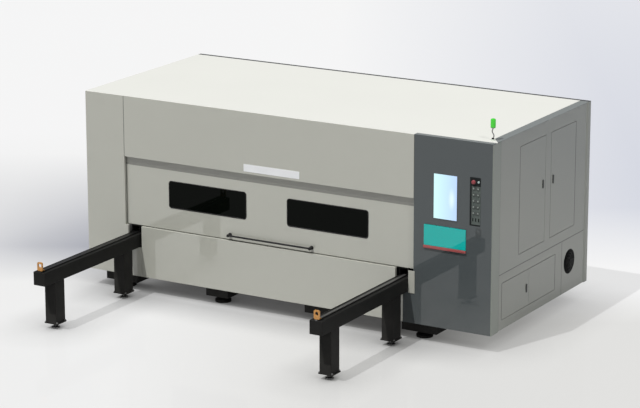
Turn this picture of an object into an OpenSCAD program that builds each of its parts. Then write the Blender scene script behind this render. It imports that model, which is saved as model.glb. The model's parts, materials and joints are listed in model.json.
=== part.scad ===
// Enclosed fiber laser cutting machine for 3 x 1.5 m sheet with a drawer table.
// Origin on the floor under the middle of the overall box, +X to the right along the front,
// +Y into the machine, +Z up. Millimetres.

/* [Body] */
// Width of the enclosure
body_w = 4500; // [4300:10:4900]
// Height of the enclosure from skirt edge to roof
body_h = 1817; // [1780:10:1950]
// Gap between the floor and the skirt edge
floor_gap = 172; // [150:2:200]
// Thickness of the folded sheet panels
sheet = 3; // [2:0.5:4]
// Depth of the folded panel edges
fold = 30; // [24:1:32]
// Gap between fixed panels
seam = 0.5; // [0.3:0.1:0.8]

/* [Front] */
// Width of the left front column
left_w = 450; // [420:5:470]
// Width of the control column
column_w = 814; // [760:2:830]
// Height of the header above the door
header_h = 610; // [580:5:640]
// Height of the drawer front above the skirt edge
drawer_h = 515; // [505:1:520]
// Depth that the column sheet returns over the roof
column_return = 60; // [30:5:75]

/* [Door] */
// Thickness of the lifting door
door_t = 36; // [30:1:44]
// Running gap round the door
door_gap = 0.5; // [0.3:0.1:0.8]
// Length of the door hidden in each side channel
door_lap = 26; // [20:1:32]
// Lift of the door
door_lift = 550; // [400:10:560]
// Distance between the windows
window_between = 462; // [380:2:560]
// Height of a window
window_h = 267; // [200:1:300]
// Corner radius of a window
window_r = 25; // [10:1:40]
// Distance from the door opening's side to a window
window_margin = 502; // [440:2:560]
// Lower edge of the windows above the floor
window_z = 917; // [880:1:950]
// Thickness of the window panes
glass_t = 8; // [5:1:10]
// Overlap of a pane on its opening
glass_lap = 18; // [10:1:25]
// Length of the door handle
handle_len = 956; // [600:2:1000]
// Middle of the handle to the right of the door's middle
handle_off = 44; // [0:1:80]
// Radius of a handle mount
mount_r = 20; // [16:0.5:24]
// Diameter of the handle bar
handle_d = 18; // [14:1:24]
// Height of the handle above the floor
handle_z = 738; // [730:1:760]
// Stand-off of the handle axis from the door face
handle_reach = 40; // [34:1:48]

/* [Rails] */
// Width of the outfeed rail tubes
rail_w = 132; // [120:1:136]
// Height of the outfeed rail tubes
rail_h = 132; // [110:1:140]
// Height of the rail tops above the floor
rail_top = 605; // [600:1:608]
// Reach of the rails in front of the enclosure
rail_out = 1584; // [1560:2:1700]
// Middle of the left rail from the left side
rail_inset = 552; // [545:1:560]
// Middle of the right rail from the right side
rail_right = 934; // [928:1:940]
// Free depth behind the inner rail ends
rail_rear = 270; // [260:5:300]
// Width of a rail leg
leg_w = 122; // [100:1:130]
// Depth of a rail leg
leg_d = 152; // [110:1:160]
// Middle of the front leg from the front rail end
leg_front = 241; // [180:1:300]
// Middle of the rear leg from the enclosure front
leg_rear = 201; // [160:1:260]
// Width of the leg flange
flange_w = 152; // [140:1:160]
// Thickness of the leg flange
flange_t = 14; // [10:1:18]
// Height of the leg flange above the floor
flange_z = 52; // [45:1:60]
// Diameter of a levelling foot
foot_d = 84; // [76:1:120]
// Width of the running track on a rail
track_w = 46; // [40:1:60]
// Height of the running track on a rail
track_h = 10; // [6:1:12]

/* [Table] */
// Length of the drawer table
table_l = 1770; // [1700:5:1780]
// Free depth of the enclosure behind the drawer table
rear_space = 320; // [300:5:360]
// Travel of the drawer table
table_travel = 1500; // [1200:10:1520]
// Radius of the table wheels
wheel_r = 32; // [28:0.5:34]
// Width of the table wheels
wheel_w = 34; // [28:1:40]
// Diameter of the wheel axles
axle_d = 18; // [14:1:22]
// Running clearance of shafts and axles
shaft_gap = 0.05; // [0.02:0.01:0.1]
// Running gap between wheels or trucks and their tracks
track_gap = 0.3; // [0.2:0.05:0.4]
// Distance of the wheel axles from the table ends
wheel_inset = 150; // [100:5:250]
// Thickness of the table side plates
plate_t = 6; // [5:1:8]
// Width of the table side channel
channel_w = 96; // [88:1:104]
// Height of the table cross tubes
cross_h = 78; // [60:1:90]
// Width of the table cross tubes
cross_w = 60; // [50:1:80]
// Height of a slat
slat_h = 58; // [50:1:59]
// Thickness of a slat
slat_t = 4; // [3:0.5:6]
// Distance from slat to slat
slat_pitch = 100; // [80:5:150]
// Distance from tooth to tooth on a slat
tooth_pitch = 53; // [40:1:80]
// Depth of the slat teeth
tooth_h = 22; // [12:1:30]

/* [Bed] */
// Width of the bed sills
sill_w = 140; // [120:2:150]
// Height of the bed sills
sill_h = 120; // [100:2:130]
// Middle of the front sill from the front
sill_front = 190; // [188:1:200]
// Middle of the rear sill from the rear
sill_rear = 190; // [188:1:200]
// Width of the rail bearers
bearer_w = 172; // [164:1:180]
// Width of the other cross members
bar_w = 110; // [90:1:120]
// Number of bed feet along each sill
feet_n = 4; // [3:1:5]
// Middle of the first bed foot from the left side
foot_first = 343; // [300:1:420]
// Middle of the last bed foot from the right side
foot_last = 788; // [740:1:840]
// Radius of a bed pad
pad_r = 80; // [70:1:110]
// Width of a bed foot bracket
bracket_w = 250; // [200:5:300]
// Width of the foot bracket at each end of a sill
bracket_end_w = 370; // [300:5:420]
// Depth of a bed foot bracket
bracket_d = 230; // [150:5:250]
// Height of a bed foot bracket
bracket_h = 108; // [90:1:115]

/* [Gantry] */
// Width and height of the guide beams
beam_s = 120; // [110:2:124]
// Clear height of the guide beams above the floor
beam_z = 702; // [698:1:720]
// Width of a linear guide
guide_w = 34; // [28:1:45]
// Height of a linear guide
guide_h = 26; // [20:1:34]
// Width of the gantry beam
gantry_w = 220; // [180:5:260]
// Height of the gantry beam
gantry_h = 230; // [200:5:260]
// Wall of the gantry beam
gantry_wall = 10; // [8:1:14]
// Height of the gantry trucks
truck_h = 52; // [40:1:70]
// Length of the gantry trucks
truck_l = 300; // [240:5:340]
// Middle of the parked gantry from the left side
gantry_x = 330; // [300:5:360]
// Travel of the gantry
gantry_travel = 2980; // [2600:10:3020]
// Length of the head carriage
carriage_l = 190; // [160:5:220]
// Travel of the head carriage
carriage_travel = 1500; // [1200:10:1500]
// Travel of the cutting head
head_travel = 90; // [60:5:100]
// Radius of the cutting head body
head_r = 42; // [34:1:44]
// Length of the cutting head body
head_l = 268; // [240:2:290]
// Side clearance of the head beside the guide beams
head_side = 3; // [2:0.5:10]

/* [Cabinet] */
// Inset of the right side skin behind the corner post
side_inset = 10; // [9:0.5:14]
// Depth of the front corner post on the side
corner_d = 152; // [130:1:170]
// Radius of the front corner
corner_r = 6; // [5:1:12]
// Depth that the rear panel wraps round the side
wrap_d = 53; // [40:1:60]
// Thickness of a service door
leaf_t = 22; // [18:1:26]
// Gap at the free edges of a service door
leaf_gap = 4; // [2:0.5:6]
// Gap at the hinge edge of a service door
hinge_gap = 0.5; // [0.3:0.1:0.8]
// Height of the seam between upper and lower side panels
belt_z = 709; // [690:1:730]
// Lower edge of the upper doors above the floor
upper_z = 812; // [790:1:830]
// Height of the upper doors
upper_h = 1038; // [900:2:1060]
// Front edge of the upper front door from the front
upper_y = 575; // [560:1:590]
// Distance between the upper doors
upper_between = 115; // [100:1:130]
// Rear edge of the upper rear door from the rear
upper_rear = 309; // [290:1:330]
// Lower edge of the lower doors above the floor
lower_z = 262; // [240:1:280]
// Height of the lower doors
lower_h = 360; // [320:1:380]
// Front edge of the lower doors from the front
lower_y = 236; // [215:1:250]
// Distance from the lower doors to the fan panel
lower_rear = 150; // [130:1:170]
// Width of the fan panel with the rear wrap
fan_seam = 570; // [560:1:590]
// Middle of the fan from the rear
fan_rear = 397; // [380:1:410]
// Height of the fan axis above the floor
fan_z = 469; // [450:1:490]
// Radius of the fan opening
fan_r = 122; // [100:1:126]
// Number of fan blades
fan_blades = 7; // [5:1:9]
// Height of the laser source
source_h = 250; // [200:5:260]
// Height of a device on the control plate
device_h = 130; // [100:5:150]
// Depth of the flattest device on the control plate
device_d = 90; // [60:5:100]
// Free space between the equipment and the side doors
bay_gap = 60; // [50:2:80]
// Length of a door lever
lever_l = 84; // [70:1:120]
// Width of a door lever
lever_w = 18; // [16:1:28]
// Distance of the partition from the right side
partition_right = 755; // [750:1:758]

/* [Roof] */
// Width of the dark roof trim on the right
trim_w = 95; // [70:1:120]
// Start of the right roof trim behind the front, at the outer edge
trim_start = 84; // [80:1:120]
// Length of the slant at the front end of the right roof trim
trim_slant = 130; // [80:2:160]
// Width of the dark roof trim along the rear
trim_rear = 45; // [30:1:60]
// Lamp from the right side
lamp_right = 83; // [75:1:100]
// Lamp from the front
lamp_y = 148; // [130:1:170]
// Radius of the lamp lens
lens_r = 24; // [18:0.5:26]
// Height of the lamp lens
lens_h = 79; // [70:1:100]
// Height of the lamp stalk
stalk_h = 122; // [100:1:150]

/* [Controls] */
// Left edge of the screen from the column's left edge
screen_x = 202; // [184:1:214]
// Lower edge of the screen above the floor
screen_z = 1217; // [1200:1:1230]
// Width of the screen
screen_w = 250; // [220:1:280]
// Height of the screen
screen_h = 433; // [380:1:450]
// Left edge of the button plate from the column's left edge
plate_x = 581; // [570:1:589]
// Lower edge of the button plate above the floor
plate_z = 1204; // [1198:1:1215]
// Width of the button plate
plate_w = 108; // [100:1:112]
// Height of the button plate
plate_h = 455; // [430:1:465]
// Radius of the emergency stop head
stop_r = 20; // [16:0.5:21]
// Travel of the emergency stop
stop_travel = 6; // [4:0.5:8]
// Radius of the start button
start_r = 10; // [8:0.5:11]
// Travel of the start button
start_travel = 4; // [3:0.5:5]
// Number of rocker rows
rocker_n = 5; // [4:1:5]
// Width of a rocker
rocker_w = 66; // [50:1:80]
// Height of a rocker
rocker_h = 26; // [20:1:32]
// Distance from rocker to rocker
rocker_pitch = 58; // [50:1:60]
// Keys and buttons to the right of the plate's middle
key_shift = 9; // [6:0.5:10]
// Left edge of the keyboard flap from the column's left edge
flap_x = 111; // [94:1:124]
// Lower edge of the keyboard flap above the floor
flap_z = 955; // [940:1:965]
// Width of the keyboard flap
flap_w = 434; // [400:1:440]
// Height of the keyboard flap
flap_h = 196; // [180:1:200]
// Amount that the flap stands proud of the column
flap_proud = 8; // [5:0.5:12]
// Thickness of the keyboard flap
flap_t = 22; // [16:1:26]
// Height of the red ledge under the flap
ledge_h = 26; // [20:1:32]

/* [Hidden] */
$fn = 48;

// Main planes of the part frame, with the depth from the drawer table
body_d = table_l + rear_space;
left = -body_w / 2;
right = body_w / 2;
front = (rail_out - body_d) / 2;
back = front + body_d;
skirt = floor_gap;
roof = floor_gap + body_h;
side = right - side_inset;
column_left = right - column_w;
header_z = roof - header_h;
partition_l = right - partition_right;
post_gap = 5;
cut = 1;

// Rails, table and drawer
rail_l = left + rail_inset;
rail_r = right - rail_right;
rail_span = rail_r - rail_l;
rail_in = body_d - rail_rear;
rail_x = [rail_l, rail_r];
rail_end = front - rail_out;
rail_low = rail_top - rail_h;
rail_gap = 4;
wheel_z = rail_top + track_h + track_gap + wheel_r;
drawer_top = skirt + drawer_h;
drawer_l = rail_l + rail_w / 2 + 20;
drawer_r = rail_r - rail_w / 2 - 6;
table_y0 = front + fold + seam;
table_y1 = table_y0 + table_l;
slat_z = drawer_top - slat_h;
cross_z = slat_z - cross_h;
web_in = rail_w / 2 + 12;
wheel_y = [table_y0 + wheel_inset, table_y1 - wheel_inset];
cross_y = [for (i = [0:3]) table_y0 + i * (table_l - cross_w) / 3];
slat_l = table_l - 2 * plate_t;
slat_run = rail_span - 2 * web_in - 2 * slat_pitch / 2;
slat_n = floor(slat_run / slat_pitch);

// Door
door_y = front + fold + 2 * door_gap + sheet;
door_z = drawer_top + 5;
door_top = header_z + 21;
door_l = left + left_w - door_lap;
door_r = column_left + door_lap;
channel_d = door_t + 2 * door_gap + 2 * sheet;
window_w = (column_left - left - left_w - 2 * window_margin - window_between) / 2;
window_xs = [left + left_w + window_margin, column_left - window_margin - window_w];
handle_x = (left + left_w + column_left) / 2 + handle_off;

// Bed and gantry
sill_z = skirt + 2 * sheet;
sill_top = sill_z + sill_h;
sill_y = [front + sill_front, back - sill_rear];
bed_end = side - fold - seam;
foot_pitch = (body_w - foot_first - foot_last) / (feet_n - 1);
beam_l = left + fold + sheet;
beam_r = partition_l - 2 * post_gap;
beam_top = beam_z + beam_s;
guide_top = beam_top + guide_h;
truck_z = guide_top + track_gap;
gantry_z = truck_z + truck_h;
gantry_top = gantry_z + gantry_h;
gantry_cx = left + gantry_x;
gantry_face = gantry_cx + gantry_w / 2;
strip_h = 18;
strip_w = 26;
strip_z = [gantry_z + 45, gantry_top - 45];
carriage_x = gantry_face + strip_h + track_gap;
carriage_t = 24;
carriage_z = gantry_z + head_side;
carriage_h = gantry_h + 30;
head_y = sill_y[0] + beam_s / 2 + head_r + head_side;
carriage_y = head_y - carriage_l / 2;
head_x = carriage_x + carriage_t + track_gap + 1.25 * head_r;
head_clear = 10;
head_z = drawer_top + head_clear + head_travel;
post_w = 78;
post_x = [beam_l + bar_w + post_w, beam_r - post_w / 2];
cabinet_l = partition_l + sheet;

// Right side
upper_w = (body_d - upper_y - upper_between - upper_rear) / 2;
upper_y2 = upper_y + upper_w + upper_between;
lower_w = (body_d - fan_seam - lower_rear - lower_y) / 2;
fan_seam_y = body_d - fan_seam;
fan_y = body_d - fan_rear;
leaf_x = side - leaf_t;
fan_hub_r = 32;
fan_depth = 84;
fan_set = 16;
fan_hub_h = 26;
fan_floor = 4;
fan_shaft_r = 6;
lever_inset = 48;
lever_t = 7;
lever_r = 6;
lever_x = side + track_gap;
upper_lever_z = upper_z + upper_h * 0.55;
lower_lever_z = lower_z + lower_h / 2;

// Controls
plate_t2 = 3;
button_gap = 0.3;
stop_pos = [column_left + plate_x + plate_w * 0.3 + key_shift, plate_z + plate_h - 42];
start_pos = [column_left + plate_x + plate_w * 0.74 + key_shift, plate_z + plate_h - 40];
rocker_x = column_left + plate_x + plate_w / 2 + key_shift;
rocker_top = plate_z + plate_h - 104;
flap_y = front - flap_proud;

function rocker_z(i) = rocker_top - i * rocker_pitch;

// Basic solids
module block(lo, hi) {
    translate(lo) cube(hi - lo);
}

// Folded panels: an outer sheet with its edges turned back
module pan_front(lo, hi) {
    difference() {
        block(lo, hi);
        block(lo + [sheet, sheet, sheet], hi + [-sheet, cut, -sheet]);
    }
}

module pan_rear(lo, hi) {
    difference() {
        block(lo, hi);
        block(lo + [sheet, -cut, sheet], hi - [sheet, sheet, sheet]);
    }
}

module pan_right(lo, hi) {
    difference() {
        block(lo, hi);
        block(lo + [-cut, sheet, sheet], hi - [sheet, sheet, sheet]);
    }
}

module pan_left(lo, hi) {
    difference() {
        block(lo, hi);
        block(lo + [sheet, sheet, sheet], hi + [cut, -sheet, -sheet]);
    }
}

module pan_top(lo, hi) {
    difference() {
        block(lo, hi);
        block(lo + [sheet, sheet, -cut], hi - [sheet, sheet, sheet]);
    }
}

module bar_x(x0, x1, y, z, r) {
    translate([x0, y, z]) rotate([0, 90, 0]) cylinder(r = r, h = x1 - x0);
}

module bar_y(x, y0, y1, z, r) {
    translate([x, y0, z]) rotate([-90, 0, 0]) cylinder(r = r, h = y1 - y0);
}

module rounded_rect(w, h, r) {
    translate([r, 0]) square([w - 2 * r, h]);
    translate([0, r]) square([w, h - 2 * r]);
    for (x = [r, w - r], y = [r, h - r]) translate([x, y]) circle(r = r);
}

// Outline in X and Z carried along +Y from the plane y
module upright(x, y, z, depth) {
    translate([x, y + depth, z]) rotate([90, 0, 0]) linear_extrude(depth) children();
}

// Bed

module bed_sills() {
    color("#2c2d2e")
    for (y = sill_y)
        block([left + sheet, y - sill_w / 2, sill_z], [bed_end, y + sill_w / 2, sill_top]);
}

module bed_crossmembers() {
    y0 = sill_y[0] + sill_w / 2;
    y1 = sill_y[1] - sill_w / 2;
    color("#2c2d2e") {
        for (x = rail_x)
            block([x - bearer_w / 2, front + fold + seam, sill_top], [x + bearer_w / 2, y1, rail_low]);
        for (x = [left + 2 * fold, cabinet_l + fold, bed_end - bar_w])
            block([x, y0, sill_z], [x + bar_w, y1, sill_top]);
        for (x = post_x, y = sill_y)
            block([x - post_w / 2, y - bar_w / 2, sill_top], [x + post_w / 2, y + bar_w / 2, beam_z]);
    }
}

module bed_foot(w) {
    pad_h = 34;
    stem_r = 18;
    bracket_z = sill_z - bracket_h;
    rotate_extrude()
        polygon([[0, 0], [pad_r, 0], [pad_r, pad_h - 10], [pad_r - 14, pad_h], [2 * stem_r, pad_h + 14],
            [stem_r, pad_h + 14], [stem_r, bracket_z + cut], [0, bracket_z + cut]]);
    block([-w / 2, -bracket_d / 2, bracket_z], [w / 2, bracket_d / 2, sill_z]);
}

module bed_feet() {
    color("#222324")
    for (i = [0:feet_n - 1], y = sill_y)
        translate([left + foot_first + i * foot_pitch, y, 0])
            bed_foot(i == 0 || i == feet_n - 1 ? bracket_end_w : bracket_w);
}

// Front panels

module left_column_panel() {
    x1 = left + left_w;
    slot_l = rail_l - rail_w / 2 - rail_gap;
    toe_r = drawer_l - rail_gap;
    color("#b3b3a9") {
        pan_front([left, front, skirt], [x1, front + fold, roof - sheet]);
        pan_front([x1 - sheet, front, skirt], [slot_l, front + fold, drawer_top]);
        pan_front([slot_l - sheet, front, skirt], [toe_r, front + fold, rail_low - rail_gap]);
    }
}

module header_panel() {
    color("#b3b3a9")
    pan_front([left + left_w + seam, front, header_z], [column_left - seam, front + fold, roof - sheet]);
}

module control_column() {
    toe_l = rail_r + 12;
    color("#555a5c")
    difference() {
        union() {
            pan_front([column_left, front, skirt], [right - corner_r, front + fold, roof - sheet]);
            pan_front([toe_l, front, skirt], [column_left + sheet, front + fold, rail_low - rail_gap]);
            block([column_left, front, roof - 2 * sheet], [right, front + column_return, roof]);
        }
        block([column_left + screen_x, front - cut, screen_z],
            [column_left + screen_x + screen_w, front + 2 * sheet, screen_z + screen_h]);
        block([column_left + plate_x + 8, front - cut, plate_z + 8],
            [column_left + plate_x + plate_w - 8, front + 2 * sheet, plate_z + plate_h - 8]);
        block([column_left + flap_x - hinge_gap, front - cut, flap_z - hinge_gap],
            [column_left + flap_x + flap_w + hinge_gap, front + 2 * sheet, flap_z + flap_h + 3]);
    }
}

module corner_post() {
    post_in = side_inset + 8;
    post_h = body_h - 2 * sheet;
    post_y = fold + seam;
    color("#80837c")
    translate([right, front, skirt])
    difference() {
        union() {
            translate([-corner_r, corner_r, 0])
            intersection() {
                cylinder(r = corner_r, h = post_h);
                block([0, -corner_r, 0], [corner_r, 0, body_h]);
            }
            block([-corner_r, corner_r, 0], [0, post_y + sheet, post_h]);
            block([-post_in, post_y, 0], [0, corner_d, post_h]);
        }
        block([-post_in - cut, post_y + sheet, sheet], [-sheet, corner_d - sheet, post_h - sheet]);
    }
}

module cheek_plates() {
    x0 = rail_r + rail_w / 2 + rail_gap;
    proud = 6;
    color("#c4c4ba") {
        block([x0, front - proud, rail_low - 9], [column_left + 16, front, drawer_top - 6]);
        pan_front([drawer_r + rail_gap, front, skirt], [rail_r + 12 - seam, front + fold, rail_low - rail_gap]);
    }
}

// Shell

module left_side_panel() {
    color("#a9aaa2")
    pan_left([left, front + fold + seam, skirt], [left + fold, back - fold - seam, roof - sheet]);
}

module rear_panel() {
    color("#7c7f79") {
        pan_rear([left, back - fold, skirt], [right, back, roof - sheet]);
        block([right - sheet, back - wrap_d, skirt], [right, back, roof - sheet]);
        block([side - sheet, back - wrap_d, skirt], [right, back - wrap_d + sheet, roof - sheet]);
    }
}

module roof_panel() {
    edge = right - trim_w - seam;
    corner_y = front + column_return + seam;
    color("#eeede6") {
        difference() {
            pan_top([left, front, roof - sheet], [edge, back - trim_rear - seam, roof]);
            block([column_left - seam, front - cut, roof - 2 * sheet], [right, corner_y, roof + cut]);
        }
        translate([0, 0, roof - sheet]) linear_extrude(sheet)
            polygon([[edge - sheet, corner_y], [right, corner_y], [right, front + trim_start - seam],
                [edge, front + trim_start + trim_slant - seam], [edge - sheet, front + trim_start + trim_slant]]);
    }
}

module roof_trim() {
    color("#5a6062") {
        translate([0, 0, roof - sheet]) linear_extrude(sheet)
            polygon([[right - trim_w, front + trim_start + trim_slant], [right, front + trim_start],
                [right, back], [right - trim_w, back]]);
        block([left, back - trim_rear, roof - sheet], [right - trim_w - seam, back, roof]);
    }
}

module jamb(y0, y1, z0, z1) {
    block([side - fold, y0 - sheet, z0 - sheet], [side, y1 + sheet, z1 + sheet]);
}

module side_hole(y0, y1, z0, z1) {
    block([side - fold - cut, y0, z0], [side + cut, y1, z1]);
}

module side_upper_frame() {
    y1 = front + upper_y;
    y2 = front + upper_y2;
    z1 = upper_z + upper_h;
    color("#80837c")
    difference() {
        union() {
            pan_right([side - fold, front + corner_d + seam, belt_z + seam / 2],
                [side, back - wrap_d - seam, roof - sheet - seam]);
            jamb(y1, y1 + upper_w, upper_z, z1);
            jamb(y2, y2 + upper_w, upper_z, z1);
        }
        side_hole(y1, y1 + upper_w, upper_z, z1);
        side_hole(y2, y2 + upper_w, upper_z, z1);
    }
}

module side_lower_frame() {
    y1 = front + lower_y;
    y2 = y1 + 2 * lower_w;
    color("#80837c")
    difference() {
        union() {
            pan_right([side - fold, front + corner_d + seam, skirt],
                [side, front + fan_seam_y - seam / 2, belt_z - seam / 2]);
            jamb(y1, y2, lower_z, lower_z + lower_h);
        }
        side_hole(y1, y2, lower_z, lower_z + lower_h);
    }
}

module fan_panel() {
    color("#80837c")
    difference() {
        pan_right([side - fold, front + fan_seam_y + seam / 2, skirt],
            [side, back - wrap_d - seam, belt_z - seam / 2]);
        bar_x(side - fold, side + cut, front + fan_y, fan_z, fan_r);
    }
}

module partition() {
    color("#9a9b95")
    block([partition_l, sill_y[0] - sill_w / 2, sill_top], [cabinet_l, back - fold - seam, roof - 40]);
}

// Lifting door

module lift_door() {
    color("#b0b0a6")
    difference() {
        pan_front([door_l, door_y, door_z], [door_r, door_y + door_t, door_top]);
        for (x = window_xs)
            upright(x, door_y - cut, window_z, sheet + 2 * cut) rounded_rect(window_w, window_h, window_r);
    }
}

module door_windows() {
    color("#10140f")
    for (x = window_xs)
        upright(x - glass_lap, door_y + sheet, window_z - glass_lap, glass_t)
            rounded_rect(window_w + 2 * glass_lap, window_h + 2 * glass_lap, window_r);
}

module door_handle() {
    y = door_y - handle_reach;
    half = handle_len / 2 - mount_r;
    mount_l = handle_reach + handle_d / 2 + 2;
    color("#6f7476") {
        bar_x(handle_x - half, handle_x + half, y, handle_z, handle_d / 2);
        for (s = [-1, 1])
            translate([handle_x + s * half, door_y, handle_z]) rotate([90, 0, 0])
            rotate_extrude()
                polygon([[0, 0], [mount_r, 0], [mount_r, 5], [mount_r - 4, 8], [mount_r - 4, mount_l - 4],
                    [mount_r - 8, mount_l], [0, mount_l]]);
    }
}

module door_guide(x0, x1, open_l, open_r) {
    z0 = door_z - 10;
    difference() {
        block([x0, front + fold, z0], [x1, front + fold + channel_d, roof - 34]);
        block([open_l, door_y - door_gap, door_z - door_gap],
            [open_r, door_y + door_t + door_gap, roof]);
    }
}

module door_guides() {
    wall = 20;
    color("#4a4c4d") {
        door_guide(door_l - wall, left + left_w, door_l - door_gap, left + left_w + cut);
        door_guide(column_left, door_r + wall, column_left - cut, door_r + door_gap);
    }
}

// Outfeed rails

module outfeed_rails() {
    color("#242526")
    for (x = rail_x)
        block([x - rail_w / 2, rail_end, rail_low], [x + rail_w / 2, front + rail_in, rail_top]);
}

module rail_tracks() {
    inset = 6;
    color("#6d7072")
    for (x = rail_x)
        block([x - track_w / 2, rail_end + inset, rail_top],
            [x + track_w / 2, front + rail_in - inset, rail_top + track_h]);
}

module rail_legs() {
    color("#242526")
    for (x = rail_x, y = [rail_end + leg_front, front - leg_rear]) {
        block([x - leg_w / 2, y - leg_d / 2, flange_z], [x + leg_w / 2, y + leg_d / 2, rail_low]);
        block([x - flange_w / 2, y - flange_w / 2, flange_z],
            [x + flange_w / 2, y + flange_w / 2, flange_z + flange_t]);
    }
}

module rail_feet() {
    disc_h = 16;
    stem_r = 12;
    nut_r = 20;
    color("#1c1d1e")
    for (x = rail_x, y = [rail_end + leg_front, front - leg_rear])
        translate([x, y, 0]) {
            rotate_extrude()
                polygon([[0, 0], [foot_d / 2, 0], [foot_d / 2, disc_h - 4], [foot_d / 2 - 10, disc_h],
                    [2 * stem_r, disc_h + 6], [stem_r, disc_h + 6], [stem_r, flange_z], [0, flange_z]]);
            translate([0, 0, flange_z - 14]) cylinder(r = nut_r, h = 14, $fn = 6);
        }
}

module rail_stops() {
    t = 12;
    h = 84;
    w = 60;
    bore = 18;
    color("#e68c28")
    for (x = rail_x)
        difference() {
            union() {
                upright(x - w / 2, rail_end + 16, rail_top + track_h, t) rounded_rect(w, h, 14);
                block([x - track_w / 2, rail_end + 16, rail_top + track_h],
                    [x + track_w / 2, rail_end + 62, rail_top + track_h + 8]);
            }
            bar_y(x, rail_end, rail_end + 40, rail_top + track_h + h * 0.62, bore);
        }
}

// Drawer table

module drawer_front() {
    color("#b3b3a9")
    pan_front([drawer_l, front, skirt], [drawer_r, front + fold, drawer_top]);
}

// Section of the left table side: a hanger plate and a channel that covers the wheels
module table_side() {
    lip = rail_top + track_h + 4;
    square_at(web_in - plate_t, cross_z, web_in, drawer_top);
    square_at(-channel_w / 2, drawer_top - plate_t, web_in, drawer_top);
    for (x = [-channel_w / 2, channel_w / 2 - plate_t])
        square_at(x, lip, x + plate_t, drawer_top);
}

module square_at(x0, z0, x1, z1) {
    translate([x0, z0]) square([x1 - x0, z1 - z0]);
}

module table_frame() {
    axle_r = axle_d / 2 + shaft_gap;
    color("#2a2b2c")
    difference() {
        union() {
            upright(rail_l, table_y0, 0, table_l) table_side();
            upright(rail_r, table_y0, 0, table_l) mirror([1, 0]) table_side();
            for (y = cross_y)
                block([rail_l + web_in - cut, y, cross_z], [rail_r - web_in + cut, y + cross_w, slat_z]);
            for (x = [rail_l + web_in + 300, rail_r - web_in - 300])
                block([x - 40, front + sheet, cross_z], [x + 40, table_y0 + cut, slat_z]);
        }
        for (x = rail_x, y = wheel_y)
            bar_x(x - channel_w / 2 - cut, x + channel_w / 2 + cut, y, wheel_z, axle_r);
    }
}

// One slat: a strip with pointed teeth along its upper edge
module slat() {
    n = floor(slat_l / tooth_pitch);
    p = slat_l / n;
    tip = 6;
    polygon(concat([[0, 0]], [for (i = [0:n - 1]) each [[i * p, slat_h - tooth_h],
        [(i + 0.5) * p - tip, slat_h], [(i + 0.5) * p + tip, slat_h]]],
        [[slat_l, slat_h - tooth_h], [slat_l, 0]]));
}

module table_slats() {
    x0 = (rail_l + rail_r) / 2 - (slat_n - 1) * slat_pitch / 2;
    color("#7a746a")
    for (i = [0:slat_n - 1])
        translate([x0 + i * slat_pitch - slat_t / 2, table_y0 + plate_t, slat_z])
            rotate([90, 0, 90]) linear_extrude(slat_t) slat();
}

module wheel_pair(y) {
    hub_r = axle_d / 2 + 6;
    hub_w = channel_w - 2 * plate_t - 2 * track_gap;
    color("#8a8d90")
    for (x = rail_x) {
        bar_x(x - wheel_w / 2, x + wheel_w / 2, y, wheel_z, wheel_r);
        bar_x(x - hub_w / 2, x + hub_w / 2, y, wheel_z, hub_r);
        bar_x(x - channel_w / 2, x + channel_w / 2, y, wheel_z, axle_d / 2);
    }
}

module front_wheels() {
    wheel_pair(wheel_y[0]);
}

module rear_wheels() {
    wheel_pair(wheel_y[1]);
}

module slag_tray() {
    wall = 4;
    x0 = rail_l + rail_w / 2;
    x1 = rail_r - rail_w / 2;
    y0 = sill_y[0] + sill_w / 2 + 10;
    y1 = sill_y[1] - sill_w / 2 - 10;
    b = bearer_w / 2 - rail_w / 2 + 1;
    z0 = sill_top + 10;
    color("#3a3633") {
        difference() {
            block([x0 + b, y0, z0], [x1 - b, y1, rail_low + wall]);
            block([x0 + b + wall, y0 + wall, z0 + wall], [x1 - b - wall, y1 - wall, rail_low + 2 * wall]);
        }
        block([x0 + 2, y0, rail_low], [x0 + b + wall, y1, rail_low + wall]);
        block([x1 - b - wall, y0, rail_low], [x1 - 2, y1, rail_low + wall]);
    }
}

// Gantry

module guide_beams() {
    color("#8f928c")
    for (y = sill_y) {
        block([beam_l, y - beam_s / 2, beam_z], [beam_r, y + beam_s / 2, beam_top]);
        block([beam_l + 20, y - guide_w / 2, beam_top], [beam_r - 20, y + guide_w / 2, guide_top]);
    }
}

module gantry_beam() {
    y0 = sill_y[0] - beam_s / 2;
    y1 = sill_y[1] + beam_s / 2;
    color("#c9cac4") {
        difference() {
            block([gantry_cx - gantry_w / 2, y0, gantry_z], [gantry_face, y1, gantry_top]);
            block([gantry_cx - gantry_w / 2 + gantry_wall, y0 - cut, gantry_z + gantry_wall],
                [gantry_face - gantry_wall, y1 + cut, gantry_top - gantry_wall]);
        }
        for (y = sill_y)
            difference() {
                block([gantry_cx - truck_l / 2, y - beam_s / 2, truck_z - guide_h * 0.6],
                    [gantry_cx + truck_l / 2, y + beam_s / 2, gantry_z]);
                block([gantry_cx - truck_l / 2 - cut, y - guide_w / 2 - track_gap, truck_z - guide_h],
                    [gantry_cx + truck_l / 2 + cut, y + guide_w / 2 + track_gap, truck_z]);
            }
        for (z = strip_z)
            block([gantry_face, y0, z - strip_w / 2], [gantry_face + strip_h, y1, z + strip_w / 2]);
    }
}

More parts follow.
